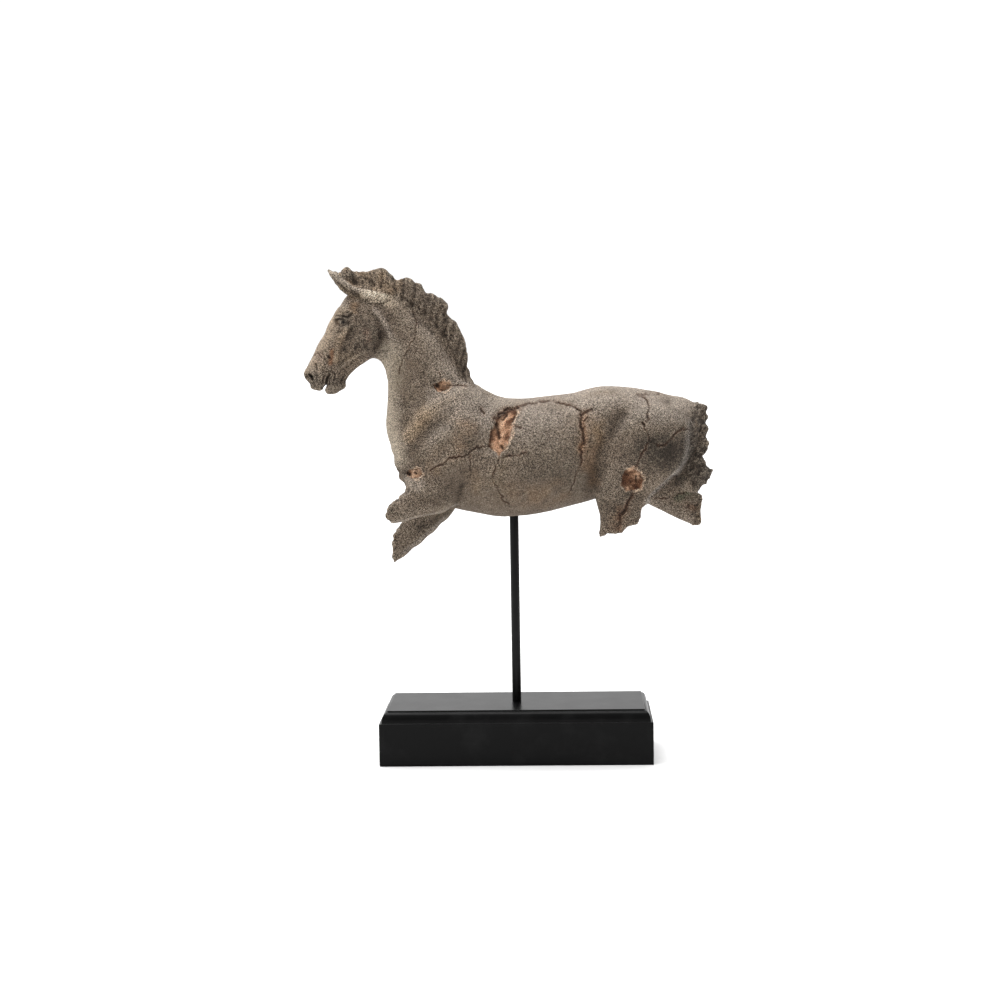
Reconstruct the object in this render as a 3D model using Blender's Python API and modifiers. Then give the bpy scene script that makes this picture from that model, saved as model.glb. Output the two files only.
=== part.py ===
"""Weathered horse torso on a rod and a moulded plinth, as a Blender model.

Metres, +Z up. The horse faces -X and its near side, the left flank, faces -Y.
The origin is the centre of the plinth's underside.
"""

import math

import bmesh
import bpy
import numpy as np
from mathutils import Vector, noise

# Driving sizes
HORSE_LENGTH = 0.3625  # tip of the muzzle to the tail stump
NOSE_REACH = 0.1853  # tip of the muzzle to the rod
PLINTH_LENGTH = 0.242
PLINTH_DEPTH = 0.090
BLOCK_HEIGHT = 0.038
BLOCK_ARRIS = 0.0008  # softened edges of the block
MOULDING_HEIGHT = 0.0105
MOULDING_LEDGE = 0.0022  # flat step between the block's edge and the moulding
MOULDING_RUN = 0.0044  # how far the rounded moulding runs in
FILLET_HEIGHT = 0.0014  # small upright step under the top face
FILLET_STEP = 0.0005
ROD_DIAMETER = 0.008
ROD_SHOWN = 0.1675  # plinth to belly
ROD_IN_PLINTH = 0.025
ROD_IN_HORSE = 0.030
FIT_GAP = 0.0003

PLINTH_HEIGHT = BLOCK_HEIGHT + MOULDING_HEIGHT
BELLY_HEIGHT = PLINTH_HEIGHT + ROD_SHOWN
BORE_DIAMETER = ROD_DIAMETER + 2 * FIT_GAP

# How finely round edges are drawn
ROD_SIDES = 40
CORNER_STEPS = 3
MOULDING_STEPS = 8
FILLET_SOFTENING = 0.0003

# The horse is worked in millimetres, its origin at the belly over the rod, and is then brought to its real
# length. These say how fine the clay is at each stage, and how many triangles the finished horse keeps.
MASS_VOXEL = 1.7
MASS_SMOOTHING = 14
DETAIL_VOXEL = 1.2
DETAIL_SMOOTHING = 2
FINAL_VOXEL = 1.0
ROUGH_TRIANGLES = 60000
HORSE_TRIANGLES = 8700

# Each section of a mass is the two points where it meets the outline in the side view, then its half
# width, the middle of that width across the horse, how square it is (2 is an ellipse), and how much wider
# it is towards the first point.
TRUNK = [
    ((-109, 88), (-107, 54), 12, 0, 2.0, 0.0),
    ((-101, 99), (-101, 36), 24, 0, 2.0, 0.0),
    ((-86, 106), (-88, 22), 32, 0, 2.1, 0.0),
    ((-66, 109), (-66, 12), 37, 0, 2.1, -0.05),
    ((-38, 112), (-38, 5), 38, 0, 2.1, -0.08),
    ((-8, 107), (-8, 0), 39.5, 0, 2.1, -0.08),
    ((25, 106), (25, 3), 40.5, 0, 2.1, -0.06),
    ((55, 110), (55, 10), 39.5, 0, 2.1, 0.0),
    ((82, 115), (82, 17), 38, 0, 2.2, 0.06),
    ((110, 114), (108, 22), 37, 0, 2.2, 0.06),
    ((138, 107), (134, 30), 33, 0, 2.2, 0.04),
    ((158, 101), (152, 42), 25, 0, 2.2, 0.0),
    ((169, 96), (163, 58), 15, 0, 2.1, 0.0),
]
NECK = [
    ((-107, 60), (-8, 88), 34, 0, 2.1, 0.0),
    ((-112.5, 80), (-14, 107), 31, 0, 2.1, 0.0),
    ((-111.5, 98), (-32, 121), 25, 0, 2.1, 0.08),
    ((-110, 116), (-43, 138), 20, 0, 2.1, 0.12),
    ((-112, 132), (-54, 157), 16.5, 0, 2.1, 0.12),
    ((-113, 147), (-68, 175), 14.5, 0, 2.1, 0.10),
    ((-113, 168), (-84, 190), 13, 0, 2.1, 0.06),
    ((-122, 183), (-102, 203), 12, 0, 2.1, 0.0),
    ((-132, 192), (-120, 209), 10, 0, 2.1, 0.0),
]
HEAD = [
    ((-112, 205), (-100, 176), 9, 0, 2.2, 0.0),
    ((-126, 208), (-103, 160), 13.5, 0, 2.3, 0.0),
    ((-142, 202), (-109, 147), 15.5, 0, 2.4, 0.08),
    ((-151, 190), (-120, 142), 15, 0, 2.5, 0.16),
    ((-158, 178), (-132, 138), 12.5, 0, 2.5, 0.16),
    ((-165, 167), (-141, 131), 10.3, 0, 2.4, 0.06),
    ((-172, 155), (-147, 124), 8.8, 0, 2.4, 0.0),
    ((-178, 144), (-150, 117), 9.2, 0, 2.5, 0.0),
    ((-184, 134), (-158, 111), 9.4, 0, 2.5, 0.0),
    ((-185, 127), (-171, 113), 7, 0, 2.3, 0.0),
]
NEAR_HAUNCH = [
    ((92, 104), (150, 98), 14, -15, 2.2, 0.0),
    ((85, 86), (157, 82), 20, -19, 2.3, 0.0),
    ((79, 66), (155, 62), 21.5, -18.5, 2.3, 0.05),
    ((73, 46), (148, 43), 20, -20, 2.3, 0.10),
    ((71, 29), (130, 28), 17, -24, 2.3, 0.08),
    ((74, 13), (117, 14), 13.5, -25, 2.2, 0.0),
    ((77, 0), (112, 2), 11.5, -26, 2.2, 0.0),
    ((75, -18), (112, -16), 11, -26, 2.2, 0.0),
    ((74, -30), (111, -30), 11, -26, 2.2, 0.0),
]
FAR_HAUNCH = [
    ((92, 104), (150, 98), 14, 15, 2.2, 0.0),
    ((85, 86), (157, 82), 20, 19, 2.3, 0.0),
    ((82, 64), (158, 64), 21, 18.5, 2.3, 0.05),
    ((88, 40), (158, 48), 19.5, 20, 2.3, 0.05),
    ((104, 18), (158, 35), 16, 23, 2.2, 0.0),
    ((124, 6), (162, 25), 12.5, 24, 2.2, 0.0),
    ((145, -5), (168, 17), 10.5, 25, 2.2, 0.0),
    ((166, -14), (180, 9), 9.5, 25, 2.2, 0.0),
    ((186, -20), (196, 2), 9, 25, 2.2, 0.0),
]
NEAR_FORELEG = [
    ((-84, 66), (-34, 46), 15, -19, 2.2, 0.0),
    ((-93, 44), (-44, 22), 15, -22, 2.2, 0.0),
    ((-98, 32), (-58, 8), 13.5, -25, 2.2, 0.0),
    ((-104, 26), (-78, 4), 12, -27, 2.2, 0.0),
    ((-114, 21), (-98, -1), 11, -28, 2.2, 0.0),
    ((-130, 18), (-118, -4), 10, -28.5, 2.2, 0.0),
]
FAR_FORELEG = [
    ((-84, 66), (-34, 46), 15, 19, 2.2, 0.0),
    ((-93, 40), (-42, 18), 15, 21, 2.2, 0.0),
    ((-97, 21), (-55, 3), 13.5, 22, 2.2, 0.0),
    ((-100, 5), (-72, -14), 12, 23, 2.2, 0.0),
    ((-107, -6), (-88, -27), 11, 23, 2.2, 0.0),
    ((-122, -20), (-108, -43), 10, 23, 2.2, 0.0),
    ((-134, -30), (-121, -53), 10, 23, 2.2, 0.0),
]
TAIL = [
    ((170, 97), (150, 99), 9.5, 0, 2.4, 0.0),
    ((172.5, 90), (148, 88), 10.5, 0, 2.5, 0.0),
    ((171, 82), (146, 82), 10, 0, 2.6, 0.0),
    ((173.5, 75), (146, 76), 10.5, 0, 2.6, 0.0),
    ((172, 69), (146, 69), 10, 0, 2.6, 0.0),
    ((174.5, 61), (146, 62), 10.5, 0, 2.6, 0.0),
    ((168, 52), (146, 54), 9.5, 0, 2.6, 0.0),
    ((172.5, 44), (146, 46), 10, 0, 2.6, 0.0),
    ((178.5, 37), (147, 38), 9.5, 0, 2.4, 0.0),
    ((170.5, 29), (148, 30), 8.5, 0, 2.4, 0.0),
    ((164, 19), (150, 22), 6.5, 0, 2.2, 0.0),
]
NEAR_EAR = [
    ((-104, 199), (-106, 194), 2.5, -7, 2.0, 0.0),
    ((-114, 205), (-112, 191), 5.0, -8, 2.2, 0.0),
    ((-125, 207), (-121, 191), 6.2, -8.5, 2.3, 0.0),
    ((-137, 208.5), (-134, 196.5), 5.6, -9.5, 2.3, 0.0),
    ((-147, 214.5), (-145, 200.5), 4.6, -10.5, 2.2, 0.0),
    ((-153, 218.5), (-151.5, 207.5), 3.2, -11, 2.0, 0.0),
    ((-157, 221), (-156.5, 215.5), 1.9, -11.5, 2.0, 0.0),
    ((-160, 222.5), (-160, 220.5), 0.8, -12, 2.0, 0.0),
]
FAR_EAR = [
    ((-101, 198), (-103, 194), 2.5, 7, 2.0, 0.0),
    ((-111, 204), (-109, 191), 5.0, 8, 2.2, 0.0),
    ((-122, 206), (-118, 191), 6.2, 8.5, 2.3, 0.0),
    ((-134, 208), (-131, 196.5), 5.6, 9.5, 2.3, 0.0),
    ((-144, 213), (-142, 200.5), 4.6, 10.5, 2.2, 0.0),
    ((-151, 218.5), (-149, 208), 2.8, 11, 2.0, 0.0),
    ((-154, 220.5), (-153, 216.5), 1.4, 11.5, 2.0, 0.0),
]
# The mane's outer edge is lobed, one lobe to a pair of locks; its second point is its root on the neck.
MANE = [
    ((-150, 217), (-142, 203), 4.0, 0, 2.2, -0.1),
    ((-145, 224.5), (-135, 203), 6.0, 0, 2.4, -0.2),
    ((-137, 220.5), (-128, 202), 7.0, 0, 2.5, -0.3),
    ((-122, 222), (-116, 200), 8.0, 0, 2.6, -0.3),
    ((-109, 223), (-105, 196), 8.6, 0, 2.6, -0.3),
    ((-100, 212.5), (-98, 192), 8.6, 0, 2.6, -0.3),
    ((-91, 215), (-89, 185), 9.0, 0, 2.6, -0.3),
    ((-80, 207), (-80, 178), 9.2, 0, 2.6, -0.3),
    ((-73, 199.5), (-74, 172), 9.0, 0, 2.6, -0.3),
    ((-58, 193), (-67, 164), 9.4, 0, 2.6, -0.3),
    ((-56.5, 182), (-62, 156), 9.0, 0, 2.6, -0.3),
    ((-47, 173), (-57, 148), 9.2, 0, 2.6, -0.3),
    ((-40, 157), (-51, 139), 9.0, 0, 2.5, -0.3),
    ((-39, 146), (-48, 131), 8.2, 0, 2.5, -0.3),
    ((-41, 136), (-46, 122), 6.6, 0, 2.4, -0.2),
    ((-35.5, 127), (-41, 114), 5.4, 0, 2.2, -0.2),
    ((-33, 118), (-36, 107), 3.0, 0, 2.0, -0.1),
]

# A stroke raises or lowers the skin along a path in the side view: path, reach to either side, height.
FORM_STROKES = [
    ([(-44, 96), (-54, 78), (-64, 58)], 25, 2.8),  # shoulder blade
    ([(-48, 56), (-60, 42), (-74, 30)], 18, 2.0),  # upper arm
    ([(-34, 118), (-64, 105), (-82, 89), (-94, 72)], 11, 1.7),  # strap muscle down to the breast
    ([(-50, 98), (-74, 76), (-92, 61)], 11, -1.5),  # groove below the strap
    ([(-24, 100), (-31, 70), (-36, 46), (-42, 26)], 14, -1.4),  # hollow behind the shoulder
    ([(-42, 33), (-47, 20), (-51, 12)], 5.5, -2.4),  # elbow fold
    ([(-102, 150), (-102, 128), (-96, 104)], 10, -1.2),  # windpipe groove
    ([(-92, 172), (-76, 148), (-62, 126)], 17, 1.3),  # side of the neck
    ([(96, 92), (84, 73), (78, 58), (74, 42), (71, 28)], 13, -2.8),  # flank fold
    ([(80, 72), (75, 52), (71, 32)], 5, -1.4),  # its bottom
    ([(62, 66), (66, 48)], 18, -1.0),  # flank hollow
    ([(116, 84), (114, 54)], 30, 2.6),  # thigh
    ([(94, 44), (92, 22)], 15, 1.6),  # stifle
    ([(148, 92), (147, 70), (136, 46)], 12, -1.0),  # groove down the back of the thigh
    ([(86, 101), (98, 103)], 16, 1.0),  # point of the hip
    ([(0, 50), (40, 52)], 38, 1.2),  # ribs
]
HEAD_STROKES = [
    ([(-123, 166), (-127, 158)], 16, 2.2),  # cheek
    ([(-121, 186), (-115, 176), (-112, 168), (-113.5, 160), (-118, 151)], 4.6, -1.8),  # behind the jaw
    ([(-122, 190), (-112, 181), (-105, 170), (-103, 160)], 6, 1.2),  # muscle of the throat
    ([(-141, 172), (-149, 163), (-154, 154), (-155, 146)], 5.5, 1.1),  # facial crest
    ([(-137, 168), (-142, 160), (-146, 152)], 6, -1.1),  # hollow under the crest
    ([(-128, 149), (-139, 144.5), (-153, 135)], 4.5, 0.8),  # edge of the jaw
    ([(-153, 185), (-146, 187), (-139, 184.5)], 5, 2.2),  # brow
    ([(-151, 176.5), (-143, 175.5)], 6.2, -2.6),  # eye socket
    ([(-148.5, 175.2), (-146, 175.4)], 4.2, 3.4),  # eye
    ([(-153.5, 178.5), (-149.5, 181), (-144, 180), (-139.5, 177)], 2.2, 1.6),  # upper lid
    ([(-153, 183), (-147, 183), (-140, 183.5)], 2.0, -1.4),  # crease above it
    ([(-153, 172.5), (-148, 170), (-142, 172.5)], 2.2, 1.1),  # lower lid
    ([(-133, 190), (-131, 186)], 6, -1.2),  # hollow of the temple
    ([(-173.5, 139), (-173.5, 134)], 3.0, -1.2),  # groove above the nostril
    ([(-182, 131), (-176, 126)], 6, 1.9),  # wing of the nostril
    ([(-180, 130.5), (-175.5, 127.5)], 2.9, -3.4),  # nostril
    ([(-164, 122), (-163, 128), (-158, 132)], 2.4, -1.7),  # mouth
    ([(-160, 118), (-153, 120)], 5, 1.2),  # lower lip
    ([(-153, 212), (-148, 206), (-137, 200), (-124, 195)], 4.2, -3.4),  # hollow of the near ear
    ([(-131, 192), (-121, 188.5), (-111, 189.5)], 3.2, -1.4),  # crease under the ear
    ([(-128, 205), (-117, 202), (-98, 193), (-80, 177), (-64, 161), (-52, 142), (-40, 118)], 3.2, -0.9),
]
# The locks of the mane hang in waves
LOCK_SPACING = 7.6
LOCK_LEAN = 0.55  # how far forward they lean for each millimetre up
LOCK_DEPTH = 1.9
STRAND_SHARE = 0.35  # depth of the finer grooves between, as a share of that
LOCK_WAVES = (2.2, 6.0), (1.2, 4.1)  # swing and length of their waves, along z and along x
MANE_ROOT = 0.12  # share of the mane's height that stays plain at its root
MANE_HALF_WIDTH = 13
# The tail stump is ragged
TAIL_FRONT, TAIL_TOP, TAIL_HALF_WIDTH = 156, 92, 12
TAIL_ROUGHNESS, TAIL_GRAIN = 1.8, 5.0
# Each break is a rough face that follows a path of the side view. The material beyond it, in the given
# direction, comes off between two planes across the horse.
BREAK_DEPTH = 48
BREAKS = [
    ([(-102, 42), (-97, 29), (-101, 22), (-106, 16), (-111, 8), (-111, 4), (-108, -2), (-104, -10)],
     (-1, 0), (-60, -10), 1.1),  # near foreleg
    ([(-99, 6), (-103, -7), (-109, -16), (-110, -24), (-112, -37), (-109, -43), (-105, -52)],
     (-1, 0), (8, 60), 1.3),  # far foreleg
    ([(66, -12), (76, -15), (80, -13), (86, -12), (95, -12), (100, -7), (107, -3.5), (112, -1), (122, 6)],
     (0, -1), (-60, -6), 1.4),  # near hind leg
    ([(157, -22), (165, -9), (168, -4), (166.5, 2), (169, 9), (169, 14), (163, 21)],
     (1, 0), (11, 60), 1.4),  # far hind leg
]
MOUTH_OPENING = ([(-164.2, 122.2), (-170, 116), (-173, 111)], [(-163.6, 121.8), (-166, 116), (-165, 109)])
# Hollows where a knot has fallen out: path in the side view, half width, depth
KNOT_HOLLOWS = [
    ([(-1, 92), (-7, 84), (-10, 74), (-12, 66)], 9.0, 2.4),  # long patch on the ribs
    ([(103.5, 35.5), (104.5, 35)], 10.2, 4.0),  # round knot on the thigh
    ([(-66, 119), (-56, 118)], 3.6, 2.6),  # root of the neck
    ([(-92, 42), (-82, 43)], 4.4, 2.8),  # breast
    ([(60, 93), (61, 84), (62, 76)], 2.6, 1.3),  # top of the flank crack
    ([(-161.5, 145), (-161, 143)], 2.6, 1.0),  # scar on the nose
    ([(98, 9), (93, -4)], 3.2, 1.6),  # crack above the near hind break
]
BREAK_STEP = 1.3  # between the points of a broken face
BREAK_GRAINS = 6.5, 2.4  # size of its coarse and fine lumps
MOUTH_HALF_WIDTH = 20
HOLLOW_WALL = 0.4  # share of a hollow's half width taken by its sloping edge


def clear_scene():
    for obj in list(bpy.data.objects):
        bpy.data.objects.remove(obj, do_unlink=True)


def collection(name):
    made = bpy.data.collections.new(name)
    bpy.context.scene.collection.children.link(made)
    return made


def material(name, colour, roughness):
    made = bpy.data.materials.new(name)
    made.use_nodes = True
    shader = made.node_tree.nodes["Principled BSDF"]
    shader.inputs["Base Color"].default_value = (*colour, 1.0)
    shader.inputs["Roughness"].default_value = roughness
    return made


def active_only(obj):
    bpy.ops.object.select_all(action="DESELECT")
    obj.select_set(True)
    bpy.context.view_layer.objects.active = obj


def apply_modifier(obj, kind, **settings):
    modifier = obj.modifiers.new(kind.lower(), kind)
    for key, value in settings.items():
        setattr(modifier, key, value)
    active_only(obj)
    bpy.ops.object.modifier_apply(modifier=modifier.name)


def cut(obj, cutter):
    """Takes the cutter's volume out of obj, and the cutter out of the scene."""
    apply_modifier(obj, "BOOLEAN", object=cutter, operation="DIFFERENCE", solver="EXACT")
    bpy.data.objects.remove(cutter, do_unlink=True)


def join(name, pieces):
    active_only(pieces[0])
    for piece in pieces:
        piece.select_set(True)
    bpy.ops.object.join()
    pieces[0].name = name
    return pieces[0]


def curve_through(keys, count):
    """count rows along the Catmull-Rom curve through the rows of keys."""
    keys = np.array(keys, float)
    padded = np.vstack([2 * keys[0] - keys[1], keys, 2 * keys[-1] - keys[-2]])
    rows = []
    for where in np.linspace(0, len(keys) - 1, count):
        i = min(int(where), len(keys) - 2)
        t = where - i
        a, b, c, d = padded[i : i + 4]
        bend = (2 * a - 5 * b + 4 * c - d) * t**2 + (3 * b - a - 3 * c + d) * t**3
        rows.append(b + 0.5 * ((c - a) * t + bend))
    return np.array(rows)


def mesh_object(name, points, faces):
    mesh = bpy.data.meshes.new(name)
    mesh.from_pydata([tuple(point) for point in points], [], faces)
    made = bpy.data.objects.new(name, mesh)
    bpy.context.scene.collection.objects.link(made)
    face_outwards(made)
    return made


def loft(name, sections, rings=40, around=32):
    """A closed tube through the sections."""
    keys = [(*first, *second, *rest) for first, second, *rest in sections]
    points = []
    for x1, z1, x2, z2, half_width, middle, square, lean in curve_through(keys, rings):
        for turn in np.linspace(0, 2 * math.pi, around, endpoint=False):
            c, s = math.cos(turn), math.sin(turn)
            c = math.copysign(abs(c) ** (2 / square), c)
            s = math.copysign(abs(s) ** (2 / square), s)
            across = middle + half_width * s * (1 + lean * c)
            points.append(((x1 + x2 + c * (x1 - x2)) / 2, across, (z1 + z2 + c * (z1 - z2)) / 2))
    faces = [tuple(range(around)), tuple(reversed(range((rings - 1) * around, rings * around)))]
    for low in range(0, (rings - 1) * around, around):
        for i in range(around):
            j = (i + 1) % around
            faces.append((low + i, low + around + i, low + around + j, low + j))
    return mesh_object(name, points, faces)


def face_outwards(obj):
    shell = bmesh.new()
    shell.from_mesh(obj.data)
    bmesh.ops.recalc_face_normals(shell, faces=shell.faces)
    if shell.calc_volume(signed=True) < 0:
        bmesh.ops.reverse_faces(shell, faces=shell.faces)
    shell.to_mesh(obj.data)
    shell.free()


def fuse(obj, voxel, smoothing):
    """Makes one skin of all the closed shells in obj, then softens it."""
    apply_modifier(obj, "REMESH", mode="VOXEL", voxel_size=voxel, adaptivity=0)
    if smoothing:
        apply_modifier(obj, "SMOOTH", factor=0.5, iterations=smoothing)


def thin_out(obj, triangles):
    """Merges the skin of obj down to about that many triangles, keeping its form."""
    obj.data.calc_loop_triangles()
    apply_modifier(obj, "DECIMATE", ratio=triangles / len(obj.data.loop_triangles))


def skin(obj):
    """The points and normals of obj's vertices, as arrays."""
    count = len(obj.data.vertices)
    points, normals = np.empty(count * 3), np.empty(count * 3)
    obj.data.vertices.foreach_get("co", points)
    obj.data.vertex_normals.foreach_get("vector", normals)
    return points.reshape(-1, 3), normals.reshape(-1, 3)


def distance_to_path(points, path):
    """How far each point (x, z) is from a path of the side view."""
    nearest = np.full(len(points), np.inf)
    for start, end in zip(path[:-1], path[1:]):
        start, way = np.array(start, float), np.subtract(end, start)
        along = np.clip((points - start) @ way / (way @ way), 0, 1)
        nearest = np.minimum(nearest, np.linalg.norm(points - start - along[:, None] * way, axis=1))
    return nearest


def facing(sideways):
    """1 where the skin faces sideways, down to 0 at the outline, so that carving keeps the outline."""
    return np.clip((sideways - 0.12) / 0.38, 0, 1)


def reshape(obj, points):
    obj.data.vertices.foreach_set("co", points.ravel())
    obj.data.update()


def stroke(obj, path, reach, height):
    """Raises the skin of both flanks by height along a path, fading to nothing at reach."""
    points, normals = skin(obj)
    share = np.clip(1 - (distance_to_path(points[:, [0, 2]], path) / reach) ** 2, 0, 1) ** 2
    share *= facing(np.abs(normals[:, 1]))
    reshape(obj, points + normals * (height * share)[:, None])


def ripple(points, grain, seed):
    """Smooth noise from -1 to 1 at each point, with features about a grain across."""
    shift = Vector((17.0 * seed, 5.0 * seed, 11.0 * seed))
    return np.array([noise.noise(Vector(p) / grain + shift) for p in points])


def knot_hollow(obj, path, half_width, depth, seed):
    """Sinks a ragged, steep-sided hollow into the near flank along a path."""
    points, normals = skin(obj)
    distance = distance_to_path(points[:, [0, 2]], path)
    near = np.where(distance < half_width * 1.6)[0]
    ragged = half_width * (1 + 0.22 * ripple(points[near], 0.6 * half_width, seed))
    floor = 1 + 0.3 * ripple(points[near], 0.5 * half_width, seed + 1)
    wall = HOLLOW_WALL * half_width
    share = np.clip((ragged - distance[near]) / wall, 0, 1)
    share = share**2 * (3 - 2 * share) * floor * facing(-normals[near, 1])
    points[near] -= normals[near] * (depth * share)[:, None]
    reshape(obj, points)


def even_rows(path, step):
    """Points at about an even step along a path of straight lines."""
    path = np.array(path, float)
    run = np.concatenate([[0], np.cumsum(np.linalg.norm(np.diff(path, axis=0), axis=1))])
    where = np.linspace(0, run[-1], int(run[-1] / step) + 2)
    return np.column_stack([np.interp(where, run, path[:, i]) for i in (0, 1)])


def slab(name, first, second, low, high, roughness=0.0, seed=0):
    """A closed block between two rows of the side view, across from low to high, its first face rough."""
    across = np.linspace(low, high, int((high - low) / BREAK_STEP) + 2)
    wide, count = len(across), len(first) * len(across)
    points = []
    for row, other in zip(first, second):
        way = Vector((other[0] - row[0], 0, other[1] - row[1])).normalized()
        for y in across:
            point = Vector((row[0], y, row[1]))
            coarse = noise.noise(point / BREAK_GRAINS[0] + Vector((seed, 0, 0)))
            fine = noise.noise(point / BREAK_GRAINS[1] + Vector((0, seed, 0)))
            points.append(point + way * roughness * (coarse + 0.7 * fine))
    points += [(row[0], y, row[1]) for row in second for y in across]
    faces = []
    for i in range(len(first) - 1):
        for j in range(wide - 1):
            corner = i * wide + j
            quad = (corner, corner + 1, corner + wide + 1, corner + wide)
            faces += [quad, tuple(count + k for k in reversed(quad))]
    edge = [*range(wide)]
    edge += [i * wide + wide - 1 for i in range(1, len(first))]
    edge += [*range(count - 2, count - wide - 1, -1)]
    edge += [i * wide for i in range(len(first) - 2, 0, -1)]
    for i, j in zip(edge, edge[1:] + edge[:1]):
        faces.append((i, count + i, count + j, j))
    return mesh_object(name, points, faces)


def break_off(obj, path, towards, across, roughness, seed):
    rows = even_rows(path, BREAK_STEP)
    beyond = rows + BREAK_DEPTH * np.array(towards)
    cut(obj, slab("break", rows, beyond, *across, roughness, seed))


def model_masses():
    """Trunk, neck, head, haunches and forelegs as one softened form with its muscles."""
    clay = join(
        "horse",
        [
            loft("trunk", TRUNK, 56, 40),
            loft("neck", NECK),
            loft("head", HEAD),
            loft("near_haunch", NEAR_HAUNCH),
            loft("far_haunch", FAR_HAUNCH),
            loft("near_foreleg", NEAR_FORELEG),
            loft("far_foreleg", FAR_FORELEG),
        ],
    )
    fuse(clay, MASS_VOXEL, MASS_SMOOTHING)
    for path, reach, height in FORM_STROKES:
        stroke(clay, path, reach, height)
    return clay


def place_in_mane(x, z):
    """How far each point is from the mane in the side view, and how high it is from root (0) to edge (1)."""
    reach, height = np.full(len(x), np.inf), np.zeros(len(x))
    for x1, z1, x2, z2 in curve_through([(*outer, *root) for outer, root, *rest in MANE], 160):
        way = np.array([x1 - x2, z1 - z2])
        up = ((x - x2) * way[0] + (z - z2) * way[1]) / (way @ way)
        within = np.clip(up, 0, 1.1)
        off = np.hypot(x - x2 - within * way[0], z - z2 - within * way[1])
        closer = off < reach
        reach[closer], height[closer] = off[closer], up[closer]
    return reach, height


def crease(wave, sharpness):
    """1 once in each whole step of wave and 0 between, the narrower the sharper."""
    return np.abs(2 * (wave - np.floor(wave)) - 1) ** sharpness


def comb_mane(obj):
    """Cuts the wavy grooves between the locks into both sides of the mane."""
    points, normals = skin(obj)
    x, y, z = points.T
    reach, height = place_in_mane(x, z)
    (swing_z, length_z), (swing_x, length_x) = LOCK_WAVES
    wave = x + LOCK_LEAN * z + swing_z * np.sin(z / length_z) + swing_x * np.sin(x / length_x)
    wave /= LOCK_SPACING
    depth = LOCK_DEPTH * (crease(wave, 4) + STRAND_SHARE * crease(2 * wave, 3))
    depth *= np.clip(2.5 - reach, 0, 1) * np.clip((height - MANE_ROOT) / 0.2, 0, 1)
    depth *= (np.abs(y) < MANE_HALF_WIDTH) * facing(np.abs(normals[:, 1]))
    reshape(obj, points - normals * depth[:, None])


def roughen_tail(obj, seed):
    points, normals = skin(obj)
    x, y, z = points.T
    chosen = np.where((x > TAIL_FRONT) & (z < TAIL_TOP) & (np.abs(y) < TAIL_HALF_WIDTH))[0]
    amount = TAIL_ROUGHNESS * ripple(points[chosen], TAIL_GRAIN, seed)
    points[chosen] += normals[chosen] * amount[:, None]
    reshape(obj, points)


def model_horse():
    clay = model_masses()
    pieces = [clay, loft("tail", TAIL, 60), loft("mane", MANE, 110)]
    pieces += [loft("near_ear", NEAR_EAR, 30, 20), loft("far_ear", FAR_EAR, 30, 20)]
    horse = join("horse", pieces)
    fuse(horse, DETAIL_VOXEL, DETAIL_SMOOTHING)
    for path, reach, height in HEAD_STROKES:
        stroke(horse, path, reach, height)
    comb_mane(horse)
    roughen_tail(horse, 8)
    for seed, (path, half_width, depth) in enumerate(KNOT_HOLLOWS):
        knot_hollow(horse, path, half_width, depth, seed)
    thin_out(horse, ROUGH_TRIANGLES)
    for seed, (path, towards, across, roughness) in enumerate(BREAKS):
        break_off(horse, path, towards, across, roughness, 3.7 * seed)
    cut(horse, slab("mouth", *MOUTH_OPENING, -MOUTH_HALF_WIDTH, MOUTH_HALF_WIDTH))
    fuse(horse, FINAL_VOXEL, 0)
    return horse


def cylinder(name, diameter, low, high):
    bpy.ops.mesh.primitive_cylinder_add(
        vertices=ROD_SIDES, radius=diameter / 2, depth=high - low, location=(0, 0, (low + high) / 2)
    )
    made = bpy.context.object
    made.name = name
    bpy.ops.object.transform_apply(location=True, rotation=True, scale=True)
    return made


def rounded_oblong(inset, height):
    """The corners of one level of the plinth, each corner a short arc."""
    half_length, half_depth = PLINTH_LENGTH / 2 - inset, PLINTH_DEPTH / 2 - inset
    points = []
    for quarter, (sign_x, sign_y) in enumerate([(1, 1), (-1, 1), (-1, -1), (1, -1)]):
        for step in range(CORNER_STEPS + 1):
            turn = (quarter + step / CORNER_STEPS) * math.pi / 2
            x = sign_x * (half_length - BLOCK_ARRIS) + BLOCK_ARRIS * math.cos(turn)
            y = sign_y * (half_depth - BLOCK_ARRIS) + BLOCK_ARRIS * math.sin(turn)
            points.append((x, y, height))
    return points


def plinth_profile():
    """(inset, height) up the side of the plinth: block, ledge, rounded moulding, fillet, top."""
    soft = BLOCK_ARRIS
    profile = [(soft, 0), (0.3 * soft, 0.3 * soft), (0, soft)]
    profile += [(0, BLOCK_HEIGHT - soft), (0.3 * soft, BLOCK_HEIGHT - 0.3 * soft), (soft, BLOCK_HEIGHT)]
    rise = MOULDING_HEIGHT - FILLET_HEIGHT
    for step in range(MOULDING_STEPS + 1):
        turn = math.pi / 2 * step / MOULDING_STEPS
        inset = MOULDING_LEDGE + MOULDING_RUN * (1 - math.cos(turn))
        profile.append((inset, BLOCK_HEIGHT + rise * math.sin(turn)))
    inner = MOULDING_LEDGE + MOULDING_RUN + FILLET_STEP
    soft = FILLET_SOFTENING
    profile += [(inner, BLOCK_HEIGHT + rise), (inner, PLINTH_HEIGHT - soft), (inner + soft, PLINTH_HEIGHT)]
    return profile


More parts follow.
